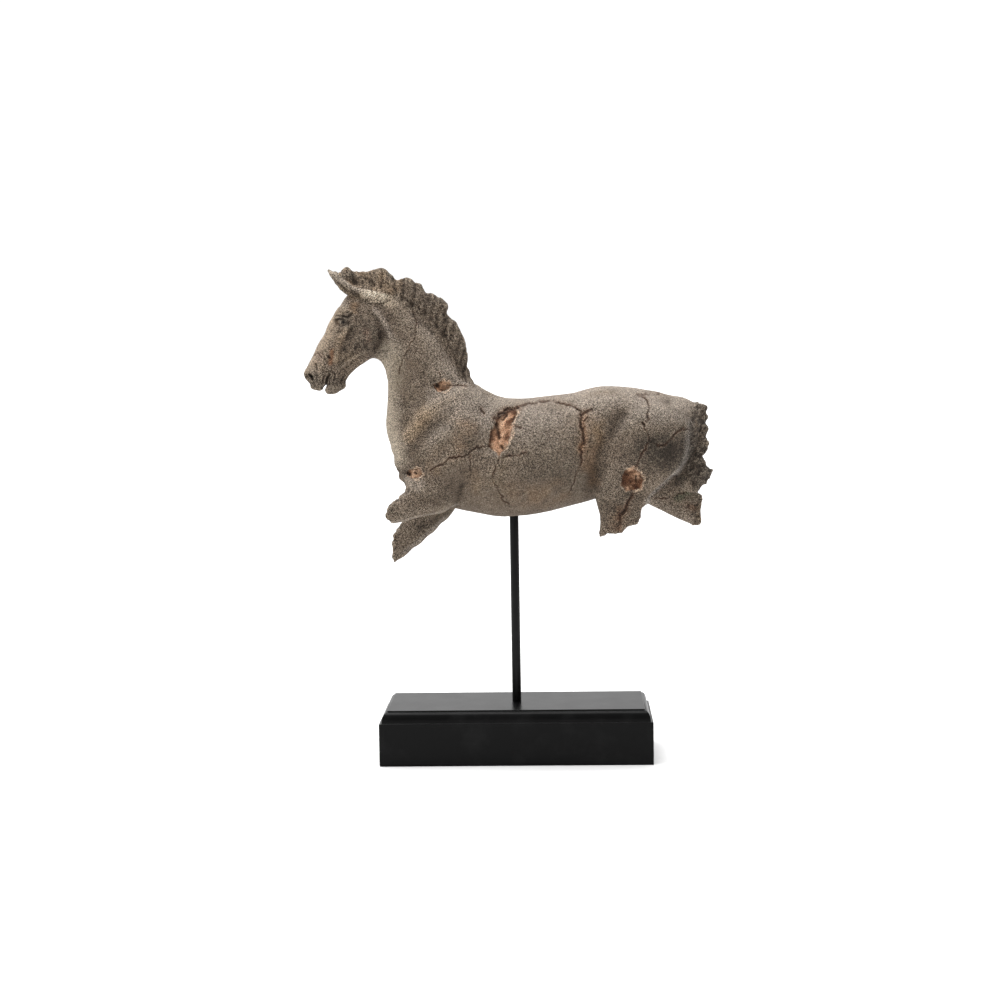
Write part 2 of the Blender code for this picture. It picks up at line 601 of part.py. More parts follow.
def model_plinth():
    levels = [rounded_oblong(inset, height) for inset, height in plinth_profile()]
    around = len(levels[0])
    faces = [tuple(range(around)), tuple(range((len(levels) - 1) * around, len(levels) * around))]
    for low in range(0, (len(levels) - 1) * around, around):
        for i in range(around):
            j = (i + 1) % around
            faces.append((low + i, low + j, low + around + j, low + around + i))
    plinth = mesh_object("plinth", [point for level in levels for point in level], faces)
    bore_floor = PLINTH_HEIGHT - ROD_IN_PLINTH - FIT_GAP
    cut(plinth, cylinder("plinth_bore", BORE_DIAMETER, bore_floor, PLINTH_HEIGHT + BORE_DIAMETER))
    return plinth


def finish(obj, own_material, group, smooth):
    """Gives a piece its material and shading, and moves it to the sculpture's collection."""
    obj.data.materials.clear()
    obj.data.materials.append(own_material)
    obj.data.polygons.foreach_set("material_index", [0] * len(obj.data.polygons))
    obj.data.polygons.foreach_set("use_smooth", [smooth] * len(obj.data.polygons))
    for old in list(obj.users_collection):
        old.objects.unlink(obj)
    group.objects.link(obj)


def build():
    clear_scene()
    sculpture = collection("horse_sculpture")

    horse = model_horse()
    thin_out(horse, HORSE_TRIANGLES)
    scale = HORSE_LENGTH / horse.dimensions.x
    horse.scale = (scale, scale, scale)
    nose = min(corner[0] for corner in horse.bound_box) * scale
    horse.location = (-NOSE_REACH - nose, 0, BELLY_HEIGHT)
    active_only(horse)
    bpy.ops.object.transform_apply(location=True, rotation=True, scale=True)
    rod_top = BELLY_HEIGHT + ROD_IN_HORSE
    bore = cylinder("horse_bore", BORE_DIAMETER, BELLY_HEIGHT - ROD_IN_HORSE, rod_top + FIT_GAP)
    cut(horse, bore)
    finish(horse, material("weathered cast body", (0.20, 0.155, 0.12), 0.9), sculpture, True)

    rod = cylinder("rod", ROD_DIAMETER, PLINTH_HEIGHT - ROD_IN_PLINTH, rod_top)
    finish(rod, material("black painted steel", (0.012, 0.012, 0.012), 0.45), sculpture, True)

    finish(model_plinth(), material("black lacquered wood", (0.01, 0.01, 0.01), 0.35), sculpture, False)


build()
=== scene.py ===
"""Weathered cast horse torso on a black rod and a moulded black plinth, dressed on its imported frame."""

import math

import bpy
import numpy as np
from mathutils import Matrix, Vector


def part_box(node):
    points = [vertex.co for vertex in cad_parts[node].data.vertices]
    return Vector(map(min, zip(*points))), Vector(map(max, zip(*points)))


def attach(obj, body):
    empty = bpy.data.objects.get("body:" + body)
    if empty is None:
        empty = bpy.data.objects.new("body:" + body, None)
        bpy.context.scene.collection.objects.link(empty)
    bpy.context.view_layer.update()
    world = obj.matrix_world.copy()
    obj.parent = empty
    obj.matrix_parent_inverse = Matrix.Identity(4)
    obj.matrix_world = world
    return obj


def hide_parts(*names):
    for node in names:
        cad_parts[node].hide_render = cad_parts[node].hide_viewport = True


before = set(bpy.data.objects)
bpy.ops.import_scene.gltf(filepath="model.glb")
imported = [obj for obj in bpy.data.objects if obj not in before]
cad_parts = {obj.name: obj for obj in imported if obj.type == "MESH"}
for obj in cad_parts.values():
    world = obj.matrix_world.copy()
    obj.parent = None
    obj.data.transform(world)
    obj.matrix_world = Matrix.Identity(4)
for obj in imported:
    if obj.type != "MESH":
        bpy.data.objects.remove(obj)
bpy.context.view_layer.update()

# The horse is worked in millimetres, with its origin at the belly over the rod: x runs from nose (-) to
# tail (+), z is the height above the belly, and the near flank faces -y. A place on it is (x, z).
MILLIMETRE = 0.001
BELLY_HEIGHT = 0.216
WORKING_VOXEL = 0.8
EASING_PASSES = 36
CAST_TRIANGLES = 192000
NEAR, FAR, BOTH = -1, 1, 0

# The rod and the plinth, in metres
ROD_SIDES = 64
ROD_CHAMFER = 0.0004
BLOCK_HEIGHT = 0.038
LEDGE = 0.0022  # flat step between the block's edge and the moulding
MOULDING_RUN, MOULDING_RISE, MOULDING_STEPS = 0.0044, 0.0091, 14
FILLET_STEP = 0.0005
PLINTH_ARRIS = 0.0007
CRISP_ANGLE = math.radians(40)  # edges sharper than this stay crisp

# The camera, fitted to the photograph: metres, radians, and millimetres for the lens
CAMERA_PLACE = (0.0444, -1.5553, 0.3907)
CAMERA_TURN = (-0.03647, 0.10219, -0.01604)  # yaw, pitch down, roll
LENS, SENSOR_WIDTH = 63, 36

# The studio
FLOOR_SIZE, FLOOR_GAP, FLOOR_GREY = 30, 0.0002, 0.69
SOFTBOX_STRENGTH, SOFTBOX_WIDTH, SOFTBOX_WAY = 4.5, math.radians(60), (0.12, -0.05, -1.0)
SKY_STRENGTH, SKY_BRIGHTEST = 1.65, (-0.6, 0.65, 0.45)
BACKDROP_STRENGTH = 1.05

# The fine parts of the head, which lose less in easing
FACE_BACK, EAR_BACK, EAR_FOOT = -128, -138, 200
EAR_PADDING = 0.7  # what easing takes off the thin ear

# The mane, from its outer edge to its root on the neck
MANE = [
    ((-151, 217), (-143, 203)), ((-146, 224.5), (-136, 203)), ((-138, 220.5), (-129, 202)),
    ((-123, 222), (-117, 200)), ((-110, 223), (-106, 196)), ((-101, 212.5), (-99, 192)),
    ((-92, 215), (-90, 185)), ((-81, 207), (-81, 178)), ((-74, 199.5), (-75, 172)),
    ((-59, 193), (-68, 164)), ((-57.5, 182), (-63, 156)), ((-48, 173), (-58, 148)),
    ((-41, 157), (-52, 139)), ((-40, 146), (-49, 131)), ((-42, 136), (-47, 122)),
    ((-36.5, 127), (-42, 114)), ((-34, 118), (-37, 107)),
]
MANE_ROOT_LINE = [
    (-103, 199), (-95.5, 196.6), (-86.8, 190.4), (-76.3, 184), (-70, 177.5), (-64.3, 169.9), (-58.5, 162),
    (-55, 154), (-49.8, 143), (-46.6, 134.5), (-41, 125), (-38, 117),
]
# The grooves between the locks, which hang almost upright from the mane's edge
MANE_GROOVES = [
    ([(-139, 220), (-138.4, 214.8), (-137, 210)], 2.6, -1.0),
    ([(-133, 219), (-127, 213.3), (-120, 208)], 3.2, -1.2),
    ([(-125, 219.5), (-123, 213.7), (-119, 207)], 2.0, -0.5),
    ([(-114, 221), (-113, 212), (-114, 205)], 2.2, -0.5),
    ([(-103.4, 215), (-102, 205.5), (-100, 200)], 3.4, -1.2),
    ([(-95.6, 213), (-94.5, 203.8), (-95.5, 195)], 4.0, -1.8),
    ([(-90, 213), (-90.5, 202), (-91, 194)], 1.8, -0.4),
    ([(-83, 208), (-84.9, 198.2), (-87.1, 189)], 3.4, -1.4),
    ([(-77.5, 203), (-79.5, 193), (-81, 186)], 1.8, -0.4),
    ([(-71.6, 200), (-73.6, 190.2), (-76.3, 182.5)], 3.6, -1.4),
    ([(-66, 197), (-69.5, 184), (-70.1, 175.6)], 2.8, -0.9),
    ([(-60, 188), (-65, 179), (-65.7, 169)], 2.8, -1.0),
    ([(-56.5, 184), (-57.1, 175.9), (-59.1, 163)], 4.4, -2.0),
    ([(-48.3, 174.9), (-51, 168.8), (-53.4, 158)], 3.2, -1.2),
    ([(-42.3, 163.4), (-45.7, 154.5), (-48.5, 144)], 3.0, -1.0),
    ([(-39.3, 151), (-41.9, 147.1), (-45, 137.5)], 2.6, -1.0),
    ([(-39.9, 136.5), (-42, 130.8), (-42.5, 126)], 2.8, -1.1),
]
STRAND_SPACING = 3.3
MANE_HALF_WIDTH = 13

# Thumbed into place on the outline: middle, reach, how far it moves
NUDGES = [
    ((-150.4, 118.6), 5.5, (1.9, -0.9)),  # square back corner of the chin
    ((-146, 123.4), 4.5, (0.5, 0)),
    ((-165.4, 118.4), 2.6, (2.0, 3.4)),  # the mouth's narrow end
    ((-170.6, 115.6), 3, (1.6, 0.2)),  # upper lip
    ((-115, 142), 9, (-0.5, -1.6)),  # round of the throat
    ((-110, 127), 10, (0.7, 0)),
    ((-125, 142), 9, (0, 1.9)),  # lower edge of the jaw
    ((-114, 138), 7, (-0.7, -1.0)),
    ((-112, 129), 8, (-0.7, 0)),
    ((-177, 117.5), 5, (-2.4, -0.9)),  # front corner of the lip
    ((-161, 178), 15, (-1.6, 0.5)),  # bridge of the nose
    ((-172, 156), 12, (-0.9, 0.3)),
    ((-160.5, 221), 6, (-0.7, 1.6)),  # tip of the ear
    ((-152.5, 217), 5, (0, 2.0)),  # tip of the far ear
    ((-124, 221), 10, (0, -1.0)),  # outer edges of the mane's locks
    ((-108, 220), 7, (-0.8, -0.8)),
    ((-80.5, 207), 5, (2.2, 1.8)),
    ((-76, 203), 5, (0.6, 1.0)),
    ((-69, 198.5), 7, (0.6, 3.2)),
    ((-62, 195.4), 5, (1.0, 2.0)),
    ((-57.5, 190.6), 7, (2.6, -1.0)),
    ((-57, 185), 4.5, (1.3, -0.4)),
    ((-49.4, 174), 6, (0.9, 0.3)),
    ((-38.5, 131), 6, (1.6, 0.6)),
    ((-40, 139), 10, (2.6, 0)),
    ((-35, 118), 6, (-0.4, -1.4)),  # foot of the neck
    ((-15, 109), 12, (0, 1.4)),  # withers
    ((30, 108), 28, (0, 1.2)),  # loins
    ((75, 114), 26, (0, 1.2)),
    ((132, 108.5), 14, (0, 1.2)),  # top of the rump
    ((152, 104), 18, (0, 2.3)),
    ((167, 97), 10, (3.2, 0.9)),  # its corner
    ((172, 86), 7, (1.8, 0)),
    ((170.4, 78), 7, (2.0, 0)),
    ((171.6, 65), 6, (1.9, 0)),
    ((169, 54), 5, (1.9, 0)),
    ((168.6, 27), 6, (2.6, 0)),
    ((167.4, 16), 6, (1.8, 0)),
    ((162.6, 6), 15, (2.6, 0)),  # far hind leg
    ((164, -7), 8, (2.4, -3.4)),
    ((79, -16), 6, (-0.3, -2.6)),  # near hind leg
    ((98, -12.6), 7, (0.6, -1.4)),
    ((109, -5.4), 7, (0.8, -3.2)),
    ((111.4, 4), 9, (1.2, 0)),
    ((116.4, 14.4), 7, (3.8, -0.7)),  # hollow of the flank behind it
    ((-105.6, 56), 7, (1.4, 0)),  # breast
    ((-103, 42), 7, (1.6, 0)),
    ((-96.6, 31), 9, (3.8, -4.0)),  # where the foreleg meets it
    ((-101, 21), 7, (2.2, -1.2)),  # near foreleg
    ((-112, -0.8), 7, (1.7, 0.6)),
    ((-102, -6), 9, (1.6, 0)),  # far foreleg
    ((-108, -14), 9, (0.6, 0)),
    ((-110, -33), 9, (1.0, 0)),
    ((-100, -36), 12, (0, -1.7)),
    ((-86, -24), 12, (0, -1.9)),
    ((-74, -14), 10, (0, -1.5)),
    ((-61, -1.5), 11, (0, -1.9)),
]
# A stroke raises or lowers the skin along a path: path, reach to either side, height
FACE_STROKES = [
    ([(-150, 174.6), (-147, 175.4)], 6.8, -0.8),  # eye socket
    ([(-150, 175.2), (-145.6, 175.8)], 4.6, 1.4),  # eyeball
    ([(-147.3, 175.9), (-146.9, 175.5)], 1.9, -0.7),  # pupil
    ([(-154.6, 179.8), (-150, 180), (-143.4, 178.2)], 1.9, 0.65),  # upper lid
    ([(-154.6, 177.8), (-150.6, 178.6), (-145.6, 178)], 1.3, -0.5),  # its lower edge
    ([(-153.6, 181.4), (-150, 181.4), (-147.5, 180.7)], 1.5, -0.45),  # crease over it
    ([(-147.5, 180.7), (-143.3, 179.9), (-139.2, 182.8)], 2.0, -1.3),  # its deep back end
    ([(-152, 184.4), (-147, 184.6), (-143, 184.2)], 1.4, -0.3),  # second crease
    ([(-153.6, 172.6), (-149.4, 170.4), (-144.6, 171.4)], 1.5, 0.7),  # lower lid
    ([(-152, 167.6), (-147, 167.4)], 1.8, -0.4),  # fold below it
    ([(-155, 172.4), (-158.4, 168)], 1.6, -0.5),  # tear groove
    ([(-151, 188.4), (-144, 188.6)], 4.5, 1.2),  # brow
    ([(-144, 170.4), (-151, 161.6), (-153.4, 152), (-156, 142)], 3.0, 1.0),  # facial crest
    ([(-140.4, 169), (-144.6, 161.4)], 2.6, -1.0),  # hollow behind the crest
    ([(-134.4, 156.4), (-137, 152.6)], 2.0, -0.6),
    ([(-133, 158), (-128, 150)], 2.0, 0.5),  # vein over the cheek
    ([(-114, 165), (-115.6, 158), (-119.6, 150.2)], 4.0, -0.25),  # behind the cheek
    ([(-115.6, 164.6), (-114.6, 161)], 2.2, -0.6),
    ([(-119.4, 185.6), (-113.4, 178.5), (-109.4, 171), (-106, 163)], 3.4, 1.1),  # muscle behind it
    ([(-153.2, 134.6), (-139, 144.4), (-130.5, 148.2)], 2.4, 0.7),  # edge of the jaw
    ([(-151.5, 138.5), (-140, 148)], 3.2, -0.5),
    ([(-180.5, 132), (-176.2, 132), (-174, 128), (-174.6, 124.6)], 2.0, 1.1),  # wing of the nostril
    ([(-179.4, 130), (-177, 127.6), (-176.4, 125.6)], 1.6, -2.2),  # nostril
    ([(-182.6, 129.6), (-181, 127.6)], 1.5, -1.2),
    ([(-173.6, 139), (-172.6, 134.6)], 1.8, -1.1),  # groove above the nostril
    ([(-183, 128), (-180, 121)], 2.4, 0.5),  # upper lip
    ([(-164.4, 122.6), (-163.4, 126.4), (-161.4, 129.6)], 1.5, -2.2),  # mouth
    ([(-167.4, 122.6), (-166.6, 126.6), (-165.4, 128.6)], 1.5, -1.3),  # fold of the upper lip
    ([(-161.8, 121), (-161.4, 125.6), (-160, 127.4)], 1.4, -1.0),
    ([(-164, 132), (-159.4, 132.6), (-156.4, 129.6), (-157.4, 124.6)], 1.3, -0.7),  # wrinkles beside it
    ([(-160, 135.4), (-154.6, 133.4), (-153.2, 128)], 1.3, -0.35),
    ([(-172.6, 122), (-169, 131.6)], 2.8, 0.6),
    ([(-160, 117.6), (-153.6, 119)], 3.2, 0.9),  # lower lip
    ([(-151.6, 122), (-149.4, 127)], 1.6, -0.9),  # chin groove
    ([(-168, 150), (-163, 140)], 1.3, -0.5),
    ([(-124, 191.4), (-114.5, 190.8), (-106, 194)], 1.9, -0.7),  # crease under the ear
    ([(-156, 213), (-149.6, 206.4), (-144, 200.4)], 1.8, 0.9),  # lower edge of the ear
    ([(-150.4, 209.4), (-142.8, 203.6), (-134, 199.4)], 3.0, -0.35),  # hollow of the ear
    ([(-127, 199), (-112, 199)], 6.5, 0.9),  # round base of the ear
]
BODY_STROKES = [
    ([(-36, 119), (-64, 105), (-81, 90), (-94, 72)], 7, 0.8),  # strap muscle
    ([(-53, 95), (-76, 73), (-93, 61)], 8, -0.5),
    ([(-45, 30), (-48, 18), (-50, 13)], 4, -0.7),  # elbow fold
    ([(-98, -3), (-86.7, 0.4), (-73.6, 2.6), (-60.3, 6.6), (-48.2, 11)], 2.4, -0.6),  # under the near foreleg
    ([(97, 90), (85, 74), (80, 63), (77, 45), (73, 28)], 7, -0.9),  # flank fold
    ([(153, 66), (148.5, 47), (141, 36.4), (130, 26), (120, 16)], 4, 0.7),  # back edge of the thigh
    (MANE_ROOT_LINE, 2.2, -0.55),
    ([(-130, 205.6), (-118, 202.8), (-106, 200)], 1.6, -0.6),
]

# A crack wanders along its path: path, half width, depth
NEAR_CRACKS = [
    ([(-86.7, 184.3), (-82.9, 173.3), (-83.1, 163.2), (-90.4, 151.3), (-95.7, 141.3), (-99, 129.2)],
     0.8, 0.6),
    ([(-20.6, 66.2), (-32.9, 64.1), (-37.4, 59.7), (-44.2, 57), (-54.2, 56.6), (-59.9, 51.1),
      (-71.1, 45.7)], 0.9, 1.0),
    ([(-36.3, 58.7), (-36.5, 45.3)], 0.8, 0.5),
    ([(-10.8, 56.1), (-15.4, 46.1), (-17.7, 38.4), (-12.4, 27.1), (-9.1, 19.3), (-3.6, 14.7)], 0.8, 0.75),
    ([(-8.5, 56.1), (-0.7, 57.2), (5.9, 59.3), (12.6, 60.3)], 1.0, 0.8),
    ([(-15, 90), (-9, 93.6), (-3.1, 97), (5.6, 99)], 1.7, 1.7),
    ([(5.6, 99), (15.9, 101.4), (26.1, 104), (37.7, 102.6), (49.3, 100), (55.1, 98.5), (61, 94.6)],
     1.1, 0.85),
    ([(70, 96.5), (65, 94.5), (61.5, 92), (60, 86), (60.8, 79), (63.1, 73), (62.5, 68), (59.2, 64.1)],
     1.5, 1.3),
    ([(66, 90), (63, 86), (62.5, 80)], 1.2, 0.8),
    ([(59.2, 64.1), (60.2, 55.2), (59.5, 48.5)], 1.3, 1.1),
    ([(59.5, 48.5), (55.6, 40.8), (53.3, 33), (48.7, 23)], 0.8, 0.5),
    ([(111.6, 108.5), (117.4, 108.4), (129.2, 108.2)], 1.0, 0.8),
    ([(110, 109), (118.4, 105), (120, 99), (117.9, 93.2), (117.4, 87.4), (114.1, 84.1)], 1.0, 0.75),
    ([(114.1, 84.1), (116.5, 76.6), (118.9, 69)], 0.8, 0.55),
    ([(118.6, 70), (125.9, 64.5), (134.6, 65.9), (141.9, 74.5), (148.4, 79.5), (154.9, 77.2)], 1.0, 0.9),
    ([(117.7, 67.1), (112.7, 58), (109.3, 51.4), (107.6, 47)], 1.1, 1.1),
    ([(104, 25), (102.7, 20), (99.8, 14.8), (97.8, 9.3), (93.5, 3.7), (92.1, -8)], 1.6, 1.3),
    ([(-54, 119), (-40, 118)], 0.9, 0.7),
    ([(-62, 121), (-63, 130)], 0.8, 0.7),
    ([(126.7, 13.7), (138.3, 13.6), (148, 17.3), (157.7, 20.1)], 0.8, 0.7),
    ([(-27, 98), (-24, 94)], 1.3, 0.9),
    ([(3, 83), (8, 81.4)], 1.2, 0.7),
    ([(-180, 145), (-175.9, 147.3), (-171.5, 148.5), (-168.5, 144.7)], 0.8, 0.6),
]
FAR_CRACKS = [
    ([(-94, 170), (-88, 156), (-92, 142), (-84, 126), (-88, 112)], 0.8, 0.6),
    ([(-72, 60), (-52, 66), (-34, 58), (-20, 70), (-12, 92), (4, 100), (20, 104)], 1.0, 1.0),
    ([(-34, 58), (-30, 40), (-18, 24), (-8, 12)], 0.9, 0.75),
    ([(66, 102), (62, 86), (68, 72), (62, 56), (66, 38), (58, 22)], 1.1, 1.0),
    ([(106, 110), (112, 94), (108, 80), (120, 68), (136, 66), (148, 78)], 1.0, 0.8),
    ([(120, 68), (124, 48), (134, 34)], 0.9, 0.7),
]
CRACKS = ((NEAR_CRACKS, NEAR, 50), (FAR_CRACKS, FAR, 90))  # with each side's first random seed
CRACK_WANDER = 0.55
CRACK_POINT_SPACING = 2.5

# Places where a knot of filler has come out, leaving a bare orange-brown floor
PATCH = [
    (3.1, 98), (-5.8, 94.8), (-13.7, 88.2), (-18.5, 78), (-20.5, 66), (-14, 61), (-10.8, 57), (-5.2, 63.7),
    (-0.6, 73.6), (0.7, 84.7), (5.3, 94.6),
]
ROUND_KNOT, ROUND_KNOT_RADII = (104, 35.3), (10.2, 10.9)
NECK_KNOT, NECK_KNOT_RADII = (-60.5, 118.6), (7.5, 4.6)
BREAST_KNOT, BREAST_KNOT_RADII = (-86.5, 42.5), (7.8, 4.4)
FAR_KNOT, FAR_KNOT_RADII = (24, 66), (7.5, 11)
ROUND_KNOT_SOOT = 0.38  # how much darker its floor is
PATCH_SHADOW_SLOPE, PATCH_SHADOW_LINE = 1.4, 86  # its edge is dark where z - slope * x passes the line
# Small pits, most of them in the bare floors: path, reach, depth
PITS = [
    ([(-13, 84), (-11, 73)], 2.3, 1.8),
    ([(-4, 92), (-8, 88)], 1.6, 0.9),
    ([(-9, 66), (-8, 64)], 1.6, 1.1),
    ([(102, 34.5), (103, 33.5)], 2.0, 1.3),
    ([(107.5, 38), (107.5, 33)], 1.6, 1.0),
    ([(99.5, 40), (101, 39)], 1.5, 0.8),
    ([(-65.2, 119), (-64, 118.4)], 2.2, 2.2),
    ([(-92.4, 42.4), (-91, 41.8)], 2.0, 1.6),
    ([(-85.4, 43.2), (-84.6, 42.4)], 1.5, 1.3),
    ([(-161.6, 145.6), (-160.8, 144.2)], 1.3, 0.8),
    ([(113.4, 84.6), (114.6, 83.4)], 1.8, 1.2),
]

# The tail: height and x of its front edge, x and half width across, and the height of its foot
TAIL_FRONT = [(5, 166), (20, 160), (44, 151.5), (62, 154), (80, 155), (90, 155.5), (98, 161)]
TAIL_HALF_WIDTHS = [(158, 34), (168, 18), (175, 14)]
TAIL_FOOT = 14

# Broken ends of the leg stumps, and the side each one is on
BREAKS = [
    ([(-103, 42), (-98, 29), (-102, 22), (-107, 16), (-112, 8), (-112, 4), (-109, -2), (-105, -10)], NEAR),
    ([(-100, 6), (-104, -7), (-110, -16), (-111, -24), (-113, -37), (-110, -43), (-106, -52)], FAR),
    ([(65, -12), (75, -15), (79, -13), (85, -12), (94, -12), (99, -7), (106, -3.5), (111, -1), (121, 6)],
     NEAR),
    ([(156, -22), (164, -9), (167, -4), (165.5, 2), (168, 9), (168, 14), (162, 21)], FAR),
]


def active_only(obj):
    bpy.ops.object.select_all(action="DESELECT")
    obj.select_set(True)
    bpy.context.view_layer.objects.active = obj


def apply_modifier(obj, kind, **settings):
    modifier = obj.modifiers.new(kind.lower(), kind)
    for key, value in settings.items():
        setattr(modifier, key, value)
    active_only(obj)
    bpy.ops.object.modifier_apply(modifier=modifier.name)


def skin(obj):
    """The points and normals of obj's vertices, as arrays."""
    count = len(obj.data.vertices)
    points, normals = np.empty(count * 3), np.empty(count * 3)
    obj.data.vertices.foreach_get("co", points)
    obj.data.vertex_normals.foreach_get("vector", normals)
    return points.reshape(-1, 3), normals.reshape(-1, 3)


def reshape(obj, points):
    obj.data.vertices.foreach_set("co", points.ravel())
    obj.data.update()


def edges_of(obj):
    ends = np.empty(len(obj.data.edges) * 2, np.int32)
    obj.data.edges.foreach_get("vertices", ends)
    return ends.reshape(-1, 2)


def ease(points, edges, share, passes):
    """Moves each point that share of the way to the middle of its neighbours, again and again."""
    first, second = edges.T
    count = np.bincount(edges.ravel(), minlength=len(points))
    share = np.broadcast_to(share, len(points)) / count
    points = points.copy()
    for _ in range(passes):
        for axis in range(3):
            line = points[:, axis]
            total = np.bincount(first, line[second], len(line)) + np.bincount(second, line[first], len(line))
            points[:, axis] = line + share * (total - count * line)
    return points


def lumps(points, size, seed):
    """Smooth random heights from -1 to 1 at each point, with lumps about size across."""
    place = points / size + 31.7 * (seed + 1)
    low = np.floor(place).astype(np.int64)
    part = place - low
    part = part * part * (3 - 2 * part)
    total = np.zeros(len(points))
    for corner in np.ndindex(2, 2, 2):
        x, y, z = (low + corner).T
        mixed = (x * 73856093) ^ (y * 19349663) ^ (z * 83492791)
        mixed = (mixed ^ (mixed >> 13)) * 1274126177 & 0x7FFFFFFF
        mixed = (mixed ^ (mixed >> 15)) & 0xFFFF
        total += np.prod(np.where(corner, part, 1 - part), axis=1) * (mixed / 32767.5 - 1)
    return total


def distance_to_path(places, path):
    nearest = np.full(len(places), np.inf)
    for start, end in zip(path[:-1], path[1:]):
        start, way = np.array(start, float), np.subtract(end, start)
        along = np.clip((places - start) @ way / (way @ way), 0, 1)
        nearest = np.minimum(nearest, np.linalg.norm(places - start - along[:, None] * way, axis=1))
    return nearest


def beside(places, path, reach):
    """Which places lie in the box round a path."""
    low, high = np.min(path, axis=0) - reach, np.max(path, axis=0) + reach
    return np.where(np.all((places > low) & (places < high), axis=1))[0]


def facing(normals, side, least=0.12, full=0.5):
    """1 where the skin faces that side, down to 0 towards the outline."""
    sideways = np.abs(normals[:, 1]) if side == BOTH else side * normals[:, 1]
    return np.clip((sideways - least) / (full - least), 0, 1)


def depth_inside(places, outline):
    """How far inside a closed outline each place is, less than 0 outside it."""
    x, z = places.T
    within = np.zeros(len(places), bool)
    closed = [*outline, outline[0]]
    for (x1, z1), (x2, z2) in zip(closed[:-1], closed[1:]):
        if z1 != z2:
            within ^= ((z1 > z) != (z2 > z)) & (x < (x2 - x1) * (z - z1) / (z2 - z1) + x1)
    return np.where(within, 1, -1) * distance_to_path(places, closed)


def oval(middle, radii, corners, seed):
    """An uneven oval outline."""
    uneven = np.random.default_rng(seed).uniform(0.9, 1.1, corners)
    turns = np.linspace(0, 2 * math.pi, corners, endpoint=False)
    return [
        (middle[0] + radii[0] * r * math.cos(t), middle[1] + radii[1] * r * math.sin(t))
        for r, t in zip(uneven, turns)
    ]


def jagged(path, seed):
    """The path with a point every few mm, each pushed aside as a crack wanders."""
    path = np.array(path, float)
    run = np.concatenate([[0], np.cumsum(np.linalg.norm(np.diff(path, axis=0), axis=1))])
    where = np.linspace(0, run[-1], int(run[-1] / CRACK_POINT_SPACING) + 2)
    rows = np.column_stack([np.interp(where, run, path[:, i]) for i in (0, 1)])
    rows[1:-1] += np.random.default_rng(seed).normal(0, CRACK_WANDER, (len(rows) - 2, 2))
    return rows


def push_strokes(obj, strokes, side):
    points, normals = skin(obj)
    places, faces = points[:, [0, 2]], facing(normals, side)
    push = np.zeros(len(points))
    for path, reach, height in strokes:
        near = beside(places, path, reach)
        share = np.clip(1 - (distance_to_path(places[near], path) / reach) ** 2, 0, 1) ** 2
        push[near] += height * share * faces[near]
    reshape(obj, points + normals * push[:, None])


def crack_share(points, normals, cracks, side, spread, seed):
    """How deep in a crack each point lies, in mm, with the cracks drawn spread times as wide."""
    places, faces = points[:, [0, 2]], facing(normals, side, 0, 0.2)
    deepest = np.zeros(len(points))
    for number, (path, half_width, depth) in enumerate(cracks):
        wandering = jagged(path, seed + number)
        near = beside(places, wandering, 3 * half_width * spread)
        width = half_width * spread * (1 + 0.45 * lumps(points[near], 5, seed + number))
        share = np.clip(1.15 - distance_to_path(places[near], wandering) / width, 0, 1) ** 0.8
        share *= np.clip(0.85 + 0.9 * lumps(points[near], 7, seed + number + 30), 0.2, 1.25)
        deepest[near] = np.maximum(deepest[near], depth * share * faces[near])
    return deepest


def place_in_mane(places):
    """How far each place is from the mane, and how high it is from root (0) to edge (1)."""
    keys = np.array([(*outer, *root) for outer, root in MANE], float)
    where = np.linspace(0, len(keys) - 1, 120)
    rows = np.column_stack([np.interp(where, range(len(keys)), keys[:, i]) for i in range(4)])
    reach, height = np.full(len(places), np.inf), np.zeros(len(places))
    near = beside(places, keys.reshape(-1, 2), 4)
    x, z = places[near].T
    for x1, z1, x2, z2 in rows:
        way = np.array([x1 - x2, z1 - z2])
        up = ((x - x2) * way[0] + (z - z2) * way[1]) / (way @ way)
        within = np.clip(up, 0, 1.1)
        off = np.hypot(x - x2 - within * way[0], z - z2 - within * way[1])
        closer = off < reach[near]
        reach[near[closer]], height[near[closer]] = off[closer], up[closer]
    return reach, height


def in_mane(points):
    reach, height = place_in_mane(points[:, [0, 2]])
    share = np.clip(2.2 - reach, 0, 1) * np.clip((height - 0.04) / 0.12, 0, 1)
    return share * (np.abs(points[:, 1]) < MANE_HALF_WIDTH)


def in_tail(points):
    x, y, z = points.T
    front = np.interp(z, *zip(*TAIL_FRONT))
    half_width = np.interp(x, *zip(*TAIL_HALF_WIDTHS))
    within = np.clip((x - front) / 2, 0, 1) * np.clip((half_width - np.abs(y)) / 2, 0, 1)
    return within * (z > TAIL_FOOT)


def in_break(points):
    share = np.zeros(len(points))
    for path, side in BREAKS:
        near = beside(points[:, [0, 2]], path, 5)
        off = distance_to_path(points[near][:, [0, 2]], path)
        share[near] = np.maximum(share[near], np.clip((4.2 - off) / 2, 0, 1) * (side * points[near, 1] > 2))
    return share


def knots():
    """Each place where a knot has come out: outline, side, depth, soot on its floor, and whether its
    upper left edge is in shadow."""
    return [
        (PATCH, NEAR, 1.1, 0, True),
        (oval(ROUND_KNOT, ROUND_KNOT_RADII, 9, 3), NEAR, 1.0, ROUND_KNOT_SOOT, False),
        (oval(NECK_KNOT, NECK_KNOT_RADII, 9, 4), NEAR, 0.9, 0, False),
        (oval(BREAST_KNOT, BREAST_KNOT_RADII, 8, 5), NEAR, 0.9, 0, False),
        (oval(FAR_KNOT, FAR_KNOT_RADII, 9, 6), FAR, 1.6, 0, False),
    ]


